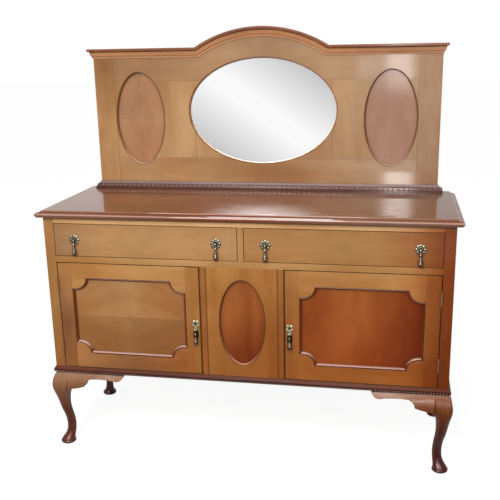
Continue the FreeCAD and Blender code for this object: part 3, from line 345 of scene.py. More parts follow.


# the finishes of the wooden pieces
# joint lines round the doors and drawers, drawn as painted shade in the gaps beside them
doorLines = (("x", (0.1558,), 0.0034), ("x", (0.6982,)), ("z", (0.3328, 0.7472)))
drawerLines = (("x", (0.0120, 0.6990)), ("z", (0.7740, 0.8960)))
# painted light and shade on the mirror back: the shadow of the cornice at the top, a darker bottom middle,
# and paler sheen low on the left and high on the right
mirrorPatches = (((-0.64, 0.241, 1.44), 0.14, (0.72, 0.66, 0.58)),
                 ((-0.45, 0.241, 1.44), 0.32, (0.74, 0.66, 0.56)),
                 ((0.0, 0.241, 1.58), 0.3, (0.66, 0.68, 0.72)),
                 ((-0.34, 0.241, 1.10), 0.34, (1.14, 1.28, 1.44)),
                 ((-0.02, 0.241, 0.99), 0.34, (0.84, 0.76, 0.66)),
                 ((0.66, 0.241, 1.42), 0.22, (1.12, 1.16, 1.2)))
woods = {
    # painted light on the top: its nosing faces in a lighter colour, reflections and highlights painted
    # paler, and a darker, redder pool in the middle front
    "topPolish": dict(light="7e4c2e", dark="6a3c22", length=18, coat=0.6, coatRough=0.04, bright=0.2,
        dull=0.3, base=0.05, side="966852", wear=0.05, age=0.5,
        patches=(((-0.08, -0.2, 0.944), 0.42, (0.62, 0.32, 0.10)),
                 ((0.52, 0.05, 0.944), 0.36, (1.15, 1.9, 3.4)), ((-0.5, 0.1, 0.944), 0.28, (1.2, 1.2, 1.2)),
                 ((-0.05, -0.262, 0.93), 0.3, (1.35, 1.3, 1.2)))),
    # painted light: the top rail lighter than the posts and the rails below it darker; the lines are painted
    # shade round the drawers, over the doors and under the nosing
    "frameLevel": dict(light="dcab74", dark="cc9b64", mellowShade=1.0, shadeWax=0.45,
        fades=(("z", 0.900, 0.885, "e1ded3"),), lines=(("z", (0.7736, 0.8964, 0.7480, 0.9148)),)),
    # its lines are painted shade in the gaps beside the doors and drawers
    "frameUpright": dict(grain="z", light="b2844f", dark="a47441", mellowShade=1.0,
        lines=(("x", (0.6995, 0.0115)),)),
    # painted shade: a darker patch on the left divider and wide dark lines in the door gaps; also darker
    # below the drawer rail
    "dividers": dict(grain="z", light="bd8e55", dark="ae7e46", mellowShade=0.8, lineDark=0.94,
        fades=(("z", 0.765, 0.745, "f2dccb"),), patches=(((-0.145, -0.242, 0.5), 0.2, (0.86, 0.80, 0.80)),),
        lines=(("x", (0.1310,), 0.003), ("x", (0.1545,), 0.0052), ("x", (0.0115,)))),
    # painted light: door rails lighter than the stiles, as if lit from above, with patches of painted shade
    # low down and painted sheen; painted shade lines in the door gaps
    "doorLevel": dict(light="c9985f", dark="b9884f", mellowShade=1.15, lines=doorLines,
        patches=(((-0.43, -0.242, 0.36), 0.30, (0.64, 0.66, 0.9)),
                 ((-0.5, -0.242, 0.72), 0.2, (1.1, 1.12, 1.2)),
                 ((0.45, -0.242, 0.36), 0.26, (0.82, 0.88, 1.2)))),
    # a painted shade patch on the left door's outer stile; painted shade lines in the door gaps
    "doorUpright": dict(grain="z", light="b8864e", dark="a87640", mellowShade=1.0, lines=doorLines,
        lineWidth=0.0022, lineDark=0.92, patches=(((-0.67, -0.242, 0.5), 0.26, (0.6, 0.56, 0.84)),)),
    "endPanel": dict(grain="z", light="94603a", dark="7c4b2a"),
    # painted sheen on both mirror finishes: paler and bluer towards the right; the right stile darker and
    # greyer
    "mirrorLevel": dict(light="b68a5d", dark="a97d50", coat=0.75, coatRough=0.07, lineDark=0.6,
        lines=(("x", (0.608,)), ("z", (1.379, 1.072))), fades=(("x", 0.0, 0.5, (0.86, 0.97, 1.26)),),
        patches=mirrorPatches),
    "mirrorUpright": dict(grain="z", light="b88c5d", dark="aa7e50", coat=0.4, lineDark=0.6,
        lines=(("x", (0.608, 0.276)),),
        fades=(("x", 0.0, 0.5, (0.86, 0.97, 1.26)), ("x", 0.57, 0.63, (0.92, 0.86, 0.88))),
        patches=mirrorPatches),
    # the bead moulding dark behind its carved lobes: painted shade
    "beadMoulding": dict(light="643d31", dark="503026", coat=0.4, wear=0.3, shadeWax=0.95),
    # darker along its lower edge behind the carved lobes: painted shade
    "baseMoulding": dict(light="6e3d2d", dark="572d1f", coat=0.04, coatRough=0.3, base=0.06, wear=0.2,
        shadeWax=0.95, fades=(("z", 0.3225, 0.3175, "6a4c44"),)),
    # the carved lobes paler than the mouldings they sit on: worn high spots, and painted highlight
    "carvedLobes": dict(light="977464", dark="7f5f50", coat=1.0, coatRough=0.06, wear=0.3, shadeWax=0.95,
        reach=0.006),
    "baseLobes": dict(light="8e5f4d", dark="744a38", coat=0.9, coatRough=0.06, wear=0.3, shadeWax=0.95,
        reach=0.006),
    # painted light: a lighter colour for the lower band, as if lit from the front, the top fillet darker,
    # and paler and bluer towards the right as a painted sheen
    "cornice": dict(light="cf966b", dark="bb8257", coat=0.6, wear=0.2, shadeWax=0.95, reach=0.008,
        fades=(("y", 0.2225, 0.2212, "a8846c"), ("x", 0.3, 0.6, (1.08, 1.25, 1.6)))),
    # painted shade: the door panel moulding darker and redder than the door frame; its upward faces a
    # painted highlight
    "panelBead": dict(light="86421f", dark="6f3315", coat=0.55, wear=0.2, shadeWax=0.95, reach=0.008, mellowShade=0.6,
        upwardSheen="b08f86"),
    # its upward faces a painted highlight
    "ovalBead": dict(grain="z", light="98683f", dark="86572f", coat=0.12, coatRough=0.25, wear=0.1, shadeWax=0.8,
        reach=0.007, base=0.1, mellowShade=0.8, upwardSheen="c09c86",
        fades=(("x", 0.05, 0.27, (1.5, 1.5, 1.55)), ("x", 0.36, 0.39, (0.67, 0.67, 0.65)))),
    # painted light and shade: darker low on the shank, the right leg darker and redder, the left leg paler
    "legPolish": dict(grain="z", light="a5764f", dark="8b5e3c", length=10, coat=0.5, coatRough=0.22,
        wear=0.1, shadeWax=0.25, mellowShade=0.16,
        fades=(("z", 0.28, 0.14, "a66c5e"), ("x", 0.60, 0.70, (0.80, 0.56, 0.42)),
               ("x", -0.60, -0.70, (1.0, 1.1, 1.3)))),
    # a darker copy of the leg finish for the rear legs under the carcass, darker still towards the floor:
    # painted shade
    "rearLegInShade": dict(grain="z", light="8a5440", dark="6e3e2c", length=10, coat=0.5, coatRough=0.22,
        wear=0.1, fades=(("z", 0.25, 0.05, "b09088"),)),
    # the left end darker: painted shade
    "drawerLeft": dict(light="bf9160", dark="b18352", fold=(-0.3555, 0, 0.835), length=9, mellowShade=0.7,
        quarter=(0.0, 0.07, 0.1, 0.03), lines=drawerLines, fades=(("x", -0.5, -0.68, "e6eef6"),)),
    "drawerRight": dict(light="b78752", dark="a57440", fold=(0.3555, 0, 0.835), length=9, mellowShade=1.05,
        quarter=(0.06, 0.02, 0.02, 0.1), lines=drawerLines),
    # a paler, bluer patch high on the left: painted sheen
    "panelLeft": dict(light="be8d5b", dark="a67444", fold=(-0.427, 0, 0.54), tilt=-18, length=7, figure=9,
        wander=0.09, streak=0.14, quarter=(0.05, 0.0, 0.36, 0.5), mellowShade=0.7, lineDark=0.12,
        patches=(((-0.48, -0.233, 0.68), 0.26, (1.14, 1.34, 1.6)),),
        lines=(("x", (0.427,)), ("z", (0.54,)))),
    # darker towards the right: painted shade; a paler patch high on the left: painted sheen
    "panelRight": dict(grain="z", light="b46831", dark="995222", length=5, figure=7, wander=0.12, streak=0.1,
        shadeWax=0.8, reach=0.03, fades=(("x", 0.44, 0.63, "c08c80"),), mellowShade=0.7,
        patches=(((0.4, -0.233, 0.69), 0.18, (1.12, 1.25, 1.3)),)),
    "centreVeneer": dict(grain="z", light="bd884a", dark="a9723a", length=10, mellowShade=0.8,
        lines=(("x", (0.1305,)),), lineWidth=0.003),
    "centreOvalVeneer": dict(grain="z", light="ae6a35", dark="985628", length=7, wander=0.07, streak=0.1,
        shadeWax=0.8, reach=0.025, fades=(("z", 0.56, 0.42, "d8b8ac"),), mellowShade=0.5),
    "ovalQuartered": dict(grain="z", light="b98c66", dark="ab7d58", fold=(-0.505, 0, 1.23), tilt=20,
        length=8, streak=0.1, quarter=(0.34, 0.18, 0.1, 0.0), lineDark=0.2,
        lines=(("x", (0.505,)), ("z", (1.23,)))),
    "ovalMatched": dict(grain="z", light="a67a5e", dark="986b50", fold=(0.505, 0, 1.23), foldAxes="x",
        tilt=12, length=8, streak=0.1, quarter=(0.0, 0.06, 0.08, 0.2), coat=0.7, lineDark=0.2,
        lines=(("x", (0.505,)),)),
    "lining": dict(light="a98a5e", dark="8d6d44", coat=0.0, bright=0.55, dull=0.75, wear=0.15, streak=0.4),
    "backing": dict(grain="z", light="6f5136", dark="553b26", coat=0.0, bright=0.6, dull=0.8, wear=0.2,
        streak=0.5),
}
finishes = {name: woodFinish(name, **look) for name, look in woods.items()}


# silvered glass with a little foxing
mirrorLook = {"speck": (160.0, 3.0, 0.7), "speckSpan": (0.72, 0.8), "speckShare": 0.25, "haze": (9.0, 4.0),
              "hazeSpan": (0.3, 0.8, 0.008, 0.03), "silver": (0.95, 0.955, 0.95, 1),
              "foxing": (0.5, 0.47, 0.42, 1)}


def mirrorFinish(name):
    g = mirrorLook
    finish, tree, shader = newFinish(name)
    spot = spotOf(tree)
    speck = remap(tree, noise(tree, spot, *g["speck"])[0], *g["speckSpan"])
    colour = blend(tree, times(tree, speck, g["speckShare"]), g["silver"], g["foxing"])
    haze = remap(tree, noise(tree, spot, *g["haze"])[0], *g["hazeSpan"])
    fill(tree, shader, {"Base Color": colour, "Roughness": haze, "Metallic": 1.0})
    return finish


# cast metal, bright on its high spots and dark in its hollows
metalLook = {"edge": 0.0006, "edgeShare": 0.5, "patch": (240.0, 4.0, 0.6),
             "patchSpan": (0.5, 0.75, 0.0, 0.5), "bump": 0.3, "depth": 0.0002}
metals = {
    "oldBrass": dict(bright="8c866f", dark="201c14", smooth=0.2, worn=0.5, reach=0.006, metal=0.7),
    "plateBrass": dict(bright="b8ac8a", dark="2a2419", smooth=0.22, worn=0.5, reach=0.004, metal=0.45),
    "dropBronze": dict(bright="9a8b78", dark="3a2c22", smooth=0.16, worn=0.4, reach=0.004, metal=1.0),
    "darkBrass": dict(bright="5c5544", dark="191510", smooth=0.2, worn=0.5, reach=0.004, metal=0.8),
    "dullBrass": dict(bright="96653c", dark="7a4f2c", smooth=0.5, worn=0.7, reach=0.002, metal=0.3),
    "lockSteel": dict(bright="8d8a84", dark="3b3733", smooth=0.35, worn=0.6, reach=0.006, metal=1.0),
}


def metalFinish(name, bright, dark, smooth, worn, reach, metal):
    g = metalLook
    finish, tree, shader = newFinish(name)
    spot = spotOf(tree)
    corner = useGroup(tree, shadeWaxGroup, {"Vector": spot, "Reach": reach})
    edge = useGroup(tree, edgeGroup, {"Vector": spot, "Radius": g["edge"]})
    patch = noise(tree, spot, *g["patch"])[0]
    tarnish = maths(tree, "MAXIMUM", corner["ShadeWax"], remap(tree, patch, *g["patchSpan"]))
    colour = blend(tree, tarnish, tone(bright), tone(dark))
    colour = blend(tree, times(tree, edge["Edge"], g["edgeShare"]), colour, tone(bright))
    uneven = bump(tree, g["bump"], g["depth"], patch, edge["Normal"])
    rough = remap(tree, tarnish, 0.0, 1.0, smooth, worn)
    fill(tree, shader, {"Base Color": colour, "Roughness": rough, "Normal": uneven, "Metallic": metal})
    return finish


finishes["silveredGlass"] = mirrorFinish("silveredGlass")
finishes.update({name: metalFinish(name, **look) for name, look in metals.items()})
print("finishes made:", len(finishes))

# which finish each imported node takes
nodeFinish = {
    "topPolish": ["top_board"],
    "frameLevel": ["front_rails"],
    "frameUpright": ["front_posts"],
    "dividers": ["front_dividers"],
    "doorLevel": ["left_door_rails", "right_door_rails"],
    "doorUpright": ["left_door_stiles", "right_door_stiles"],
    "endPanel": ["end_boards"],
    "mirrorLevel": ["mirror_top_rail_board", "mirror_bottom_rail_board"],
    "mirrorUpright": ["mirror_stiles", "mirror_muntins"],
    "beadMoulding": ["bead_moulding"],
    "baseMoulding": ["base_moulding"],
    "cornice": ["straight_cornices", "arched_cornice"],
    "legPolish": ["front_legs", "knee_brackets"],
    "rearLegInShade": ["rear_legs"],
    "drawerLeft": ["left_drawer_front"],
    "drawerRight": ["right_drawer_front"],
    "panelLeft": ["left_door_panel"],
    "panelRight": ["right_door_panel"],
    "centreVeneer": ["centre_panel"],
    "centreOvalVeneer": ["centre_oval"],
    "ovalQuartered": ["left_side_oval"],
    "ovalMatched": ["right_side_oval"],
    "lining": ["bottom_board", "dust_board", "partitions", "drawer_runners", "closing_stops", "shelves",
               "left_drawer_bottom", "left_drawer_sides", "right_drawer_bottom", "right_drawer_sides",
               "mirror_dowels"],
    "backing": ["back_board", "mirror_backing"],
    "silveredGlass": ["mirror_glass"],
    "dullBrass": ["post_hinges", "left_door_hinges", "right_door_hinges"],
    "lockSteel": ["left_door_lock", "right_door_lock"],
}


def dress(piece, finish):
    piece.data.materials.clear()
    piece.data.materials.append(finishes[finish])


for finish, names in nodeFinish.items():
    for name in names:
        dress(nodes[name], finish)


# mesh helpers
tiny = 1e-6  # points nearer than this become one, and nothing is divided by less


def meshObject(name, shape, smooth=True):
    mesh = bpy.data.meshes.new(name)
    shape.to_mesh(mesh)
    shape.free()
    mesh.polygons.foreach_set("use_smooth", [smooth] * len(mesh.polygons))
    made = bpy.data.objects.new(name, mesh)
    scene.collection.objects.link(made)
    return made


def newPiece(name, shape, finish, body, standsFor=(), crease=35):
    bmesh.ops.remove_doubles(shape, verts=shape.verts, dist=tiny)
    bmesh.ops.recalc_face_normals(shape, faces=shape.faces)
    piece = meshObject(name, shape)
    piece.data.set_sharp_from_angle(angle=math.radians(crease))
    dress(piece, finish)
    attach(piece, body)
    if standsFor:
        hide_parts(*standsFor)


def loft(shape, rings):
    # bands of faces between rings that have the same number of points
    for here, there in zip(rings, rings[1:]):
        for i in range(len(here)):
            k = (i + 1) % len(here)
            shape.faces.new((here[i], here[k], there[k], there[i]))


def sweep(shape, outline, profile, sharpest=0.35):
    # a closed moulding: outline is x and z points, profile is inset and y points
    rings = []
    for i, (x, z) in enumerate(outline):
        before, after = outline[i - 1], outline[(i + 1) % len(outline)]
        first = Vector((x - before[0], z - before[1])).normalized()
        second = Vector((after[0] - x, after[1] - z)).normalized()
        across = Vector((-first.y - second.y, first.x + second.x)).normalized()
        reach = 1 / max(sharpest, across.dot(Vector((-first.y, first.x))))
        rings.append([shape.verts.new((x + across.x * inset * reach, y, z + across.y * inset * reach))
                      for inset, y in profile])
    loft(shape, rings + rings[:1])


lathePlace = {"z": lambda p: p, "y": lambda p: (p[0], -p[2], p[1]), "x": lambda p: (p[2], p[1], p[0])}


def lathe(shape, profile, place, axis="z", steps=28):
    # profile is radius and height points; a zero radius closes the end
    rings = []
    for radius, height in profile:
        turns = [math.tau * t / steps for t in range(steps if radius else 1)]
        ring = [(radius * math.cos(t), radius * math.sin(t), height) for t in turns]
        rings.append([shape.verts.new(Vector(lathePlace[axis](p)) + Vector(place)) for p in ring])
    for low, high in zip(rings, rings[1:]):
        for t in range(max(len(low), len(high))):
            corners = [low[t % len(low)], low[(t + 1) % len(low)]]
            corners += [high[(t + 1) % len(high)], high[t % len(high)]]
            shape.faces.new(list(dict.fromkeys(corners)))  # a pointed end gives triangles
    closed = profile[0] == profile[-1]  # a ring has no ends to close
    for ring in (rings[0], rings[-1]):
        if len(ring) > 2 and not closed:
            shape.faces.new(ring)


def drum(radius, low, high):
    return [(0.0, low), (radius, low), (radius, high), (0.0, high)]


def roundedBead(width, height, steps=8):
    # half round section from inset 0 to width, standing proud towards the front
    turns = [math.pi * i / steps for i in range(steps + 1)]
    return [(width / 2 - width / 2 * math.cos(t), -height * math.sin(t)) for t in turns]


# beads that line the oval openings; a ring is its middle x and z, half width, half height, seat and face
ovalBeads = {
    "width": 0.0058, "round": 0.0038, "proud": 0.00275, "sink": 0.001, "clear": 0.0003, "points": 120,
    "hollow": [(0.22, 0.004), (0.55, 0.0065)],  # share of the rest of the width, and depth
    "rings": [(0.0, 1.259, 0.300, 0.210, 0.253, 0.243), (-0.505, 1.230, 0.104, 0.188, 0.253, 0.243),
              (0.505, 1.230, 0.104, 0.188, 0.253, 0.243), (0.0, 0.541, 0.087, 0.166, -0.232, -0.240)],
}


def makeOvalBeads():
    d = ovalBeads
    shape = bmesh.new()
    turns = [math.tau * i / d["points"] for i in range(d["points"])]
    for x, z, wide, high, seat, face in d["rings"]:
        section = [(d["clear"], seat), (d["clear"], face)]
        section += [(d["clear"] + inset, face + d["sink"] + lift)
                    for inset, lift in roundedBead(d["round"], d["proud"])[1:]]
        rest = d["width"] - d["round"]
        section += [(d["round"] + share * rest, face + fall) for share, fall in d["hollow"]]
        section += [(d["width"], seat)]
        sweep(shape, [(x + wide * math.cos(t), z + high * math.sin(t)) for t in turns], section)
    newPiece("ovalBeadRings", shape, "ovalBead", "carcass", ["oval_beads"])


makeOvalBeads()
print("oval beads made")

# moulding round the sunk door panels, with stepped quadrant corners: a quirk, then a quarter round
doorBead = {"inner": 0.2084, "outer": 0.6456, "low": 0.3894, "high": 0.6906, "radius": 0.042, "ledge": 0.013,
            "face": -0.242, "panel": -0.233, "width": 0.0090, "bed": 0.0005, "quirkDeep": 0.0022,
            "quirkWide": 0.0016, "roundStart": 0.0020, "roundRise": 0.0008, "roundShort": 0.0030,
            "roundShallow": 0.0020, "lip": 0.0012, "roundSteps": 9, "cornerSteps": 12}
sides = {"left": -1, "right": 1}


def doorOutline(sign):
    d = doorBead
    points = []
    turns = [math.pi / 2 * i / d["cornerSteps"] for i in range(d["cornerSteps"] + 1)]
    corners = [(d["outer"], d["high"], -1, -1), (d["inner"], d["high"], 1, -1), (d["inner"], d["low"], 1, 1),
               (d["outer"], d["low"], -1, 1)]
    for x, z, inX, inZ in corners:
        centre = x + inX * d["ledge"]
        wide, high = inX * d["radius"], inZ * d["radius"]
        run = [(x, z + high)] + [(centre + wide * math.sin(t), z + high * math.cos(t)) for t in turns]
        points += run if inX * inZ > 0 else run[::-1]
    return [(sign * x, z) for x, z in (points if sign > 0 else points[::-1])]


def makeDoorBead(side, sign):
    d = doorBead
    shape = bmesh.new()
    wide, deep = d["width"] - d["roundShort"], d["panel"] - d["face"] - d["roundShallow"]
    quirk = d["face"] + d["quirkDeep"]
    section = [(0.0, d["panel"] + d["bed"]), (0.0, quirk), (d["quirkWide"], quirk)]
    for i in range(1, d["roundSteps"]):
        turn = math.pi / 2 * i / d["roundSteps"]
        lift = deep * (1 - math.cos(turn))
        section.append((d["roundStart"] + wide * math.sin(turn), d["face"] + d["roundRise"] + lift))
    section += [(d["width"], d["panel"] - d["lip"]), (d["width"], d["panel"] + d["bed"])]
    sweep(shape, doorOutline(sign), section)
    body = side + "_door"
    newPiece(side + "DoorPanelMoulding", shape, "panelBead", body, [body + "_bead"])


for side, sign in sides.items():
    makeDoorBead(side, sign)
print("door panel mouldings made")


# geometry nodes: one shape repeated along a straight line, or round a ring
def newRepeat(name, inputs):
    tree = bpy.data.node_groups.new(name, "GeometryNodeTree")
    for label, kind in inputs:
        tree.interface.new_socket(label, in_out="INPUT", socket_type="NodeSocket" + kind)
    tree.interface.new_socket("Geometry", in_out="OUTPUT", socket_type="NodeSocketGeometry")
    return tree, tree.nodes.new("NodeGroupInput").outputs


def copyShape(tree, points, shape, turn):
    single = addNode(tree, "GeometryNodeObjectInfo", {"Object": shape}).outputs["Geometry"]
    sockets = {"Points": points, "Instance": single, "Rotation": turn}
    copies = addNode(tree, "GeometryNodeInstanceOnPoints", sockets).outputs[0]
    whole = addNode(tree, "GeometryNodeRealizeInstances", {0: copies}).outputs[0]
    addNode(tree, "NodeGroupOutput", {0: whole})


def makeRowTree():
    inputs = [("Shape", "Object"), ("Count", "Int"), ("Start", "Vector"), ("End", "Vector"),
              ("Turn", "Vector")]
    tree, given = newRepeat("carvedRow", inputs)
    sockets = {"Count": given["Count"], "Start Location": given["Start"], "Offset": given["End"]}
    line = addNode(tree, "GeometryNodeMeshLine", sockets, mode="END_POINTS")
    copyShape(tree, line.outputs[0], given["Shape"], given["Turn"])
    return tree


def makeRingTree():
    tree, given = newRepeat("petalRing", [("Shape", "Object"), ("Radius", "Float"), ("Count", "Int")])
    circle = addNode(tree, "GeometryNodeMeshCircle", {"Vertices": given["Count"], "Radius": given["Radius"]})
    share = maths(tree, "DIVIDE", tree.nodes.new("GeometryNodeInputIndex").outputs[0], given["Count"])
    turn = join(tree, (0.0, 0.0, times(tree, share, math.tau)))
    copyShape(tree, circle.outputs[0], given["Shape"], turn)
    return tree


rowTree, ringTree = makeRowTree(), makeRingTree()


def runNodes(shape, tree, single, values, place=Matrix()):
    # evaluates a tree on an empty holder and adds the copies of the single shape to the mesh being made
    holder = bpy.data.objects.new("holder", bpy.data.meshes.new("holder"))
    scene.collection.objects.link(holder)
    modifier = holder.modifiers.new("repeat", "NODES")
    modifier.node_group = tree
    names = {s.name: s.identifier for s in tree.interface.items_tree if s.in_out == "INPUT"}
    for label, value in {"Shape": single, **values}.items():
        modifier[names[label]] = value
    bpy.context.view_layer.update()
    mesh = bpy.data.meshes.new_from_object(holder.evaluated_get(bpy.context.evaluated_depsgraph_get()))
    mesh.transform(place)
    shape.from_mesh(mesh)
    holder.modifiers.clear()
    bpy.data.objects.remove(holder)
    bpy.data.objects.remove(single)
    bpy.data.meshes.remove(mesh)


def settle(items, spot, digits=5):
    # sorts points or faces by place, since Blender makes those of a sphere in another order each run
    for index, item in enumerate(sorted(items, key=lambda one: [round(c, digits) for c in spot(one)])):
        item.index = index
    items.sort()


def pillow(name, wide, deep, high, across=8, up=6):
    # a rounded lobe, to be set half into the piece that carries it
    shape = bmesh.new()
    bmesh.ops.create_uvsphere(shape, u_segments=across, v_segments=up, radius=1.0)
    settle(shape.verts, lambda vert: vert.co)
    settle(shape.faces, lambda face: face.calc_center_median())
    for vert in shape.verts:
        vert.co = Vector((vert.co.x * wide / 2, vert.co.y * deep, vert.co.z * high / 2))
    return meshObject(name, shape)


# carved lobes on the bead moulding and on the lower edge of the base moulding, with a lap at each corner
carving = {
    "bead": dict(finish="carvedLobes", wide=0.0090, deep=0.0066, high=0.0105, pitch=0.0200, z=0.9560,
        front=0.2278, side=0.7052, back=0.2600, lap=0.002, crease=80),
    "base": dict(finish="baseLobes", wide=0.0078, deep=0.0042, high=0.0085, pitch=0.0108, z=0.3130,
        front=-0.2482, side=0.7442, back=0.2480, lap=0.002, crease=80),
}


def carveRow(name):
    c = carving[name]
    half = c["wide"] / 2
    wide, near, far = c["side"] - half + c["lap"], c["front"] + half, c["back"] - half
    runs = [((-wide, c["front"]), (wide, c["front"]), 0.0)]
    runs += [((sign * c["side"], near), (sign * c["side"], far), math.pi / 2) for sign in sides.values()]
    shape = bmesh.new()
    for start, end, turn in runs:
        count = 1 + round((Vector(end) - Vector(start)).length / c["pitch"])
        lobe = pillow(name + "Lobe", c["wide"], c["deep"], c["high"])
        ends = {"Start": (*start, c["z"]), "End": (*end, c["z"])}
        runNodes(shape, rowTree, lobe, {"Count": max(2, count), "Turn": (0, 0, turn), **ends})
    newPiece(name + "Carving", shape, c["finish"], "carcass", crease=c["crease"])


for name in carving:
    carveRow(name)
print("carving made")

# cast pulls: petalled plates, and pear drops on a cross pin
pull = {
    "front": -0.242, "axis": 0.010, "height": 0.836, "rosette": 0.0198, "petals": 8, "inner": 0.0112,
    "innerPetals": 6, "innerLift": 0.0024, "innerHigh": 0.0022, "innerTurn": math.pi / 6,
    "petalLong": 0.62, "petalRing": 0.69, "petalWide": 5.8, "petalBack": 0.25, "petalLift": 0.0008,
    "petalHigh": 0.0028, "pin": 0.0012, "pinHalf": 0.0055, "lugGap": 0.0040, "stalk": 0.0026,
    "stalkHalf": 0.0011, "stalkSteps": (0.0018, 0.0048, 0.0078), "crease": 50,
    "drawers": {"inner": 0.089, "outer": 0.622}, "slot": "antique_brass", "finish": "oldBrass",
    "dropFinish": "dropBronze", "plateFinish": "plateBrass", "bossFinish": "darkBrass",
}
# turned sections as radius and height; those of the dish are shares of the rosette's radius
dish = [(0.0, 0.0001), (0.72, 0.0001), (0.72, 0.0010), (0.45, 0.0016), (0.30, 0.0018), (0.0, 0.0020)]
button = [(0.0, 0.0016), (0.0030, 0.0016), (0.0036, 0.0032), (0.0030, 0.0040), (0.0, 0.0042)]
lug = [(0.0, -0.0012), (0.0030, -0.0012), (0.0038, -0.0006), (0.0038, 0.0006), (0.0030, 0.0012),
       (0.0, 0.0012)]
dropEye = [(0.0017, -0.0021), (0.0030, -0.0021), (0.0034, -0.0010), (0.0034, 0.0010), (0.0030, 0.0021),
           (0.0017, 0.0021), (0.0017, -0.0021)]
pear = [(0.0, -0.0580), (0.0030, -0.0577), (0.0056, -0.0563), (0.0075, -0.0536), (0.0082, -0.0503),
        (0.0079, -0.0468), (0.0070, -0.0425), (0.0058, -0.0375), (0.0048, -0.0325), (0.0041, -0.0275),
        (0.0037, -0.0225), (0.0036, -0.0185), (0.0044, -0.0174), (0.0044, -0.0160), (0.0034, -0.0150),
        (0.0028, -0.0110), (0.0027, -0.0065), (0.0024, -0.0030), (0.0, -0.0027)]
# door plates: a petalled keyhole plate over a foot that carries the pin, and a leaf behind the drop
doorPlate = {"x": 0.1740, "pin": 0.510, "keyhole": 0.531, "radius": 0.0150, "petals": 4, "petalHigh": 0.0030,
             "petalTurn": math.pi / 4, "thick": 0.0034, "eye": 0.0046, "slot": 0.0028, "slotLength": 0.0086,
             "rim": 0.0090, "waist": 0.0046, "waistPlaces": (0.30, 0.52), "foot": 0.0075, "footPetals": 6,
             "footHigh": 0.0024, "dark": 0.0004, "leafWide": 0.0112, "leafHigh": 0.022, "leafDrop": 0.021,
             "leafLobes": 12, "leafWave": 0.045}
# shares of a radius, and heights: what links plate and foot, the foot, and the leaf from its edge inwards
waist = [(0.0, 0.0), (1.0, 0.0), (1.0, 0.0022), (0.6, 0.0030), (0.0, 0.0032)]
foot = [(0.0, 0.0), (0.8, 0.0), (0.8, 0.0018), (0.0, 0.0024)]
leafSection = [(1.0, 0.0), (1.0, 0.0005), (0.93, 0.0010), (0.86, 0.0011), (0.78, 0.0006), (0.3, 0.0007)]


def sized(radius, section):
    return [(radius * share, height) for share, height in section]


def flower(shape, x, z, radius, count, lift=pull["petalLift"], high=pull["petalHigh"], turn=0.0):
    long, wide = radius * pull["petalLong"], radius * min(1.0, pull["petalWide"] / count)
    petal = pillow("petal", long, wide / 2, high * 2, 12, 8)
    for vert in petal.data.vertices:
        if vert.co.z < 0:
            vert.co.z *= pull["petalBack"]
    upright = Matrix.Rotation(math.pi / 2, 4, "X") @ Matrix.Rotation(turn, 4, "Z")
    place = Matrix.Translation((x, pull["front"] - lift, z)) @ upright
    runNodes(shape, ringTree, petal, {"Radius": radius * pull["petalRing"], "Count": count}, place)


def pinCheeks(shape, x, z):
    y = pull["front"] - pull["axis"]
    lathe(shape, drum(pull["pin"], -pull["pinHalf"], pull["pinHalf"]), (x, y, z), "x", 12)
    stalk = drum(pull["stalk"], -pull["stalkHalf"], pull["stalkHalf"])
    for sign in sides.values():
        beside = x + sign * pull["lugGap"]
        lathe(shape, lug, (beside, y, z), "x", 16)
        for step in pull["stalkSteps"]:  # the stalk of the lug, back to the plate
            lathe(shape, stalk, (beside, y + step, z), "x", 10)


def rosette(shape, boss, x, z):
    place = (x, pull["front"], z)
    lathe(shape, sized(pull["rosette"], dish), place, "y", 32)
    flower(shape, x, z, pull["rosette"], pull["petals"])
    raised = (pull["innerLift"], pull["innerHigh"], pull["innerTurn"])
    flower(boss, x, z, pull["inner"], pull["innerPetals"], *raised)
    lathe(boss, button, place, "y", 24)
    pinCheeks(boss, x, z)


def makeDrop(name, x, z, body):
    shape = bmesh.new()
    place = (x, pull["front"] - pull["axis"], z)
    lathe(shape, dropEye, place, "x", 20)
    lathe(shape, pear, place, "z", 28)
    newPiece(name, shape, pull["dropFinish"], body, [body], pull["crease"])


def keyholeReach(turn):
    # how far the edge of the keyhole lies from its middle: a round eye with a slot below it
    d = doorPlate
    down = -math.sin(turn)
    if down <= 0:
        return d["eye"]
    return max(d["eye"], min(d["slotLength"] / max(down, tiny), d["slot"] / max(abs(math.cos(turn)), tiny)))


def keyholePlate(shape, x, z, steps=48):
    # a round plate with a pierced keyhole, as rings of points round the hole
    d = doorPlate
    loops = []
    for y, rim in ((0.0, False), (-d["thick"], False), (-d["thick"], True), (0.0, True)):
        loop = []
        for turn in (math.tau * i / steps for i in range(steps)):
            reach = d["rim"] if rim else keyholeReach(turn)
            spot = (x + reach * math.cos(turn), pull["front"] + y, z + reach * math.sin(turn))
            loop.append(shape.verts.new(spot))
        loops.append(loop)
    loft(shape, loops + loops[:1])


def leafPlate(shape, x, z, steps=72):
    # the scalloped oval plate that the drop hangs over
    d = doorPlate
    loops = []
    for share, lift in leafSection:
        loop = []
        for turn in (math.tau * i / steps for i in range(steps)):
            lobe = share * (1 - d["leafWave"] + d["leafWave"] * math.cos(turn * d["leafLobes"]))
            across, up = d["leafWide"] * lobe * math.cos(turn), d["leafHigh"] * lobe * math.sin(turn)
            loop.append(shape.verts.new((x + across, pull["front"] - lift, z + up)))
        loops.append(loop)
    loft(shape, loops)
    shape.faces.new(loops[0])
    shape.faces.new(loops[-1])


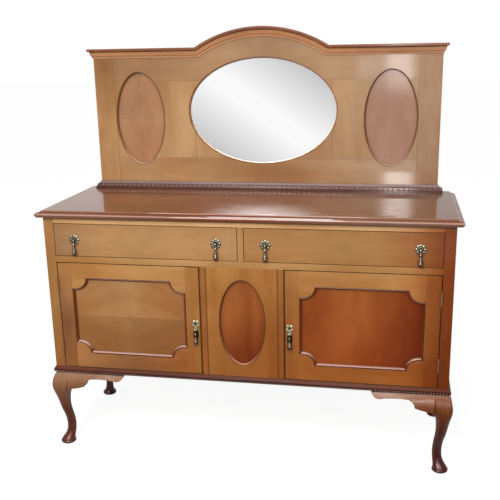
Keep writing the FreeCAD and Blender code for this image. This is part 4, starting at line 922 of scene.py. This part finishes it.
def makeDoorPlate(side, sign):
    d, front = doorPlate, pull["front"]
    x = sign * d["x"]
    plate, leaf, hollow = bmesh.new(), bmesh.new(), bmesh.new()  # hollow is the dark seen in the keyhole
    keyholePlate(plate, x, d["keyhole"])
    flower(plate, x, d["keyhole"], d["radius"], d["petals"], high=d["petalHigh"], turn=d["petalTurn"])
    for share in d["waistPlaces"]:
        z = d["pin"] + share * (d["keyhole"] - d["pin"])
        lathe(plate, sized(d["waist"], waist), (x, front, z), "y", 20)
    lathe(plate, sized(d["foot"], foot), (x, front, d["pin"]), "y", 24)
    flower(plate, x, d["pin"], d["foot"], d["footPetals"], high=d["footHigh"])
    pinCheeks(plate, x, d["pin"])
    leafPlate(leaf, x, d["pin"] - d["leafDrop"])
    # a dark disc in the keyhole: painted shade, where the hole would fall dark
    lathe(hollow, drum(d["slotLength"], 0.0, d["dark"]), (x, front, d["keyhole"]), "y", 24)
    body, slot, crease = side + "_door", pull["slot"], pull["crease"]
    newPiece(side + "DoorLeafPlate", leaf, pull["bossFinish"], body, (), crease)
    newPiece(side + "DoorKeyhole", hollow, pull["bossFinish"], body, (), crease)
    newPiece(side + "DoorKeyholePlate", plate, pull["plateFinish"], body, [body + "_escutcheon"],
             crease)


def makeRosettes(side, sign):
    plates, bosses = bmesh.new(), bmesh.new()
    for x in pull["drawers"].values():
        rosette(plates, bosses, sign * x, pull["height"])
    body, slot, crease = side + "_drawer", pull["slot"], pull["crease"]
    newPiece(side + "DrawerRosettes", plates, pull["finish"], body, [body + "_rosettes"], crease)
    newPiece(side + "DrawerPinBosses", bosses, pull["bossFinish"], body, (), crease)


for side, sign in sides.items():
    for where, x in pull["drawers"].items():
        name = f"{side}Drawer{where.title()}PearDrop"
        makeDrop(name, sign * x, pull["height"], f"{side}_drawer_{where}_drop")
    makeRosettes(side, sign)
    makeDoorPlate(side, sign)
    makeDrop(side + "DoorPearDrop", sign * doorPlate["x"], doorPlate["pin"], side + "_door_drop")
print("pulls made")


# studio: pale floor, white surround, soft lamps, and cards that only the mirror and the polish show
studio = {
    "floor": 30.0, "floorLevel": -0.0003, "floorTone": (0.3, 0.3, 0.3, 1), "floorGlow": 0.85,
    "floorGloss": 0.3, "matt": 0.9, "window": (1.0, 0.97, 0.95, 1), "sky": 0.45, "skyGloss": 0.32,
    "shade": dict(middle=(-0.915, -5.0, 0.82), across=(0.575, 0.0, 0.819), near=0.08, far=0.62, grey=0.62),
}
uprightCards = {  # left and right, depth, bottom and top, glow
    "mirrorCard": ((-5.0, 3.0), -5.0, (0.05, 3.2), 1.0),
    "highWindow": ((0.40, 0.66), -4.98, (1.05, 1.45), 14.0),
    "highGlow": ((0.10, 0.40), -4.98, (1.05, 1.45), 4.0),
    "topWindow": ((0.40, 0.68), -4.98, (1.60, 2.35), 48.0),
    "paleWall": ((0.2, 2.2), -4.99, (0.05, 1.6), 2.4),
    "backWall": ((-6.0, 0.0), 2.5, (0.0, 3.0), 1.0),
    "dimWall": ((0.0, 6.0), 2.5, (0.0, 3.0), 0.72),
}
levelCards = {  # first and last x, front and back, height, name of the finish, glow, tint
    "paleCeiling": ((2.5, -2.5), (-3.4, -0.7), 3.3, "ceilingLight", 6.0, (0.92, 0.94, 1.0, 1)),
    "floorFlag": ((-3, 3), (-3.1, -0.34), 0.002, "darkFlag", 1.0, (0.10, 0.075, 0.055, 1)),
}
lamps = [
    dict(place=(-0.5, -2.9, 2.6), aim=(-0.1, 0.0, 0.85), size=1.7, power=84.0),
    dict(place=(1.9, -2.7, 2.6), aim=(0.2, 0.0, 0.9), size=1.2, power=9.0),
    dict(place=(0.0, -1.0, 3.4), aim=(0.0, 0.0, 0.9), size=2.2, power=26.0),
]


def raysOf(tree):  # whether the camera sees the surface itself, or in something polished
    path = addNode(tree, "ShaderNodeLightPath").outputs
    return path["Is Camera Ray"], maths(tree, "MAXIMUM", path["Is Glossy Ray"], path["Is Transmission Ray"])


def stageFinish(name, gloss, tint=white, shade=None, colour=(0, 0, 0, 1), glow=0.0):
    finish, tree, shader = newFinish(name)
    fill(tree, shader, {"Base Color": colour, "Roughness": studio["matt"], "Specular IOR Level": 0.0})
    seen, polished = raysOf(tree)
    strength = maths(tree, "MAXIMUM", times(tree, seen, glow), times(tree, polished, gloss))
    if shade:  # greyer away from a slanting line
        away = vectors(tree, "SUBTRACT", spotOf(tree), shade["middle"])
        away = maths(tree, "ABSOLUTE", vectors(tree, "DOT_PRODUCT", away, shade["across"]))
        tint = remap(tree, away, shade["near"], shade["far"], 1.0, shade["grey"])
    light = addNode(tree, "ShaderNodeEmission", {"Color": tint, "Strength": strength})
    total = addNode(tree, "ShaderNodeAddShader", {0: shader.outputs[0], 1: light.outputs[0]})
    fill(tree, tree.nodes["Material Output"], {"Surface": total.outputs[0]})
    return finish


def flatSheet(name, corners, finish):
    shape = bmesh.new()
    shape.faces.new([shape.verts.new(c) for c in corners])
    sheet = meshObject(name, shape, False)
    sheet.data.materials.append(finish)
    return sheet


def levelSheet(name, x, y, z, finish):
    return flatSheet(name, [(x[0], y[0], z), (x[1], y[0], z), (x[1], y[1], z), (x[0], y[1], z)], finish)


def makeCards():
    cards = []
    for name, (x, y, z, glow) in uprightCards.items():
        look = dict(shade=studio["shade"]) if name == "mirrorCard" else dict(tint=studio["window"])
        corners = [(x[1], y, z[0]), (x[0], y, z[0]), (x[0], y, z[1]), (x[1], y, z[1])]
        cards.append(flatSheet(name, corners, stageFinish(name + "Light", glow, **look)))
    for name, (x, y, z, finish, glow, tint) in levelCards.items():
        cards.append(levelSheet(name, x, y, z, stageFinish(finish, glow, tint)))
    for card in cards:
        card.visible_camera = card.visible_diffuse = card.visible_shadow = False


def makeSurround():
    world = bpy.data.worlds.new("whiteSurround")
    scene.world = world
    world.use_nodes = True
    tree = world.node_tree
    seen, polished = raysOf(tree)
    dimmed = remap(tree, polished, 0.0, 1.0, studio["sky"], studio["skyGloss"])
    fill(tree, tree.nodes["Background"], {"Color": white, "Strength": maths(tree, "MAXIMUM", dimmed, seen)})


def makeLamps():
    for index, look in enumerate(lamps):
        lamp = bpy.data.lights.new(f"softLamp{index}", "AREA")
        lamp.shape = "DISK"
        lamp.size = look["size"]
        lamp.energy = look["power"]
        holder = bpy.data.objects.new(f"softLamp{index}", lamp)
        holder.location = look["place"]
        aim = Vector(look["aim"]) - Vector(look["place"])
        holder.rotation_euler = aim.to_track_quat("-Z", "Y").to_euler()
        scene.collection.objects.link(holder)


floorSpan = (-studio["floor"], studio["floor"])
floorLook = dict(colour=studio["floorTone"], glow=studio["floorGlow"])
floorFinish = stageFinish("paleFloor", studio["floorGloss"], **floorLook)
levelSheet("floor", floorSpan, floorSpan, studio["floorLevel"], floorFinish)
makeCards()
makeSurround()
makeLamps()
print("studio made")

# camera at the photographed angle
eye = {"place": (0.5347, -2.8024, 1.5119), "yaw": 10.912, "pitch": -15.547, "roll": -1.112, "focal": 766.6,
       "middle": (251.95, 258.54), "frame": 500.0, "sensor": 36.0}


def makeCamera():
    yaw, pitch, roll = (math.radians(eye[k]) for k in ("yaw", "pitch", "roll"))
    ahead = Vector((-math.sin(yaw) * math.cos(pitch), math.cos(yaw) * math.cos(pitch), math.sin(pitch)))
    right = Vector((math.cos(yaw), math.sin(yaw), 0.0))
    up = right.cross(ahead)
    across = right * math.cos(roll) + up * math.sin(roll)
    upright = up * math.cos(roll) - right * math.sin(roll)
    turn = Matrix((across, upright, -ahead)).transposed().to_4x4()
    lens = bpy.data.cameras.new("camera")
    lens.sensor_width = eye["sensor"]
    lens.lens = eye["focal"] / eye["frame"] * eye["sensor"]
    lens.shift_x = (eye["frame"] / 2 - eye["middle"][0]) / eye["frame"]
    lens.shift_y = (eye["middle"][1] - eye["frame"] / 2) / eye["frame"]
    camera = bpy.data.objects.new("camera", lens)
    camera.matrix_world = Matrix.Translation(eye["place"]) @ turn
    scene.collection.objects.link(camera)
    scene.camera = camera


makeCamera()
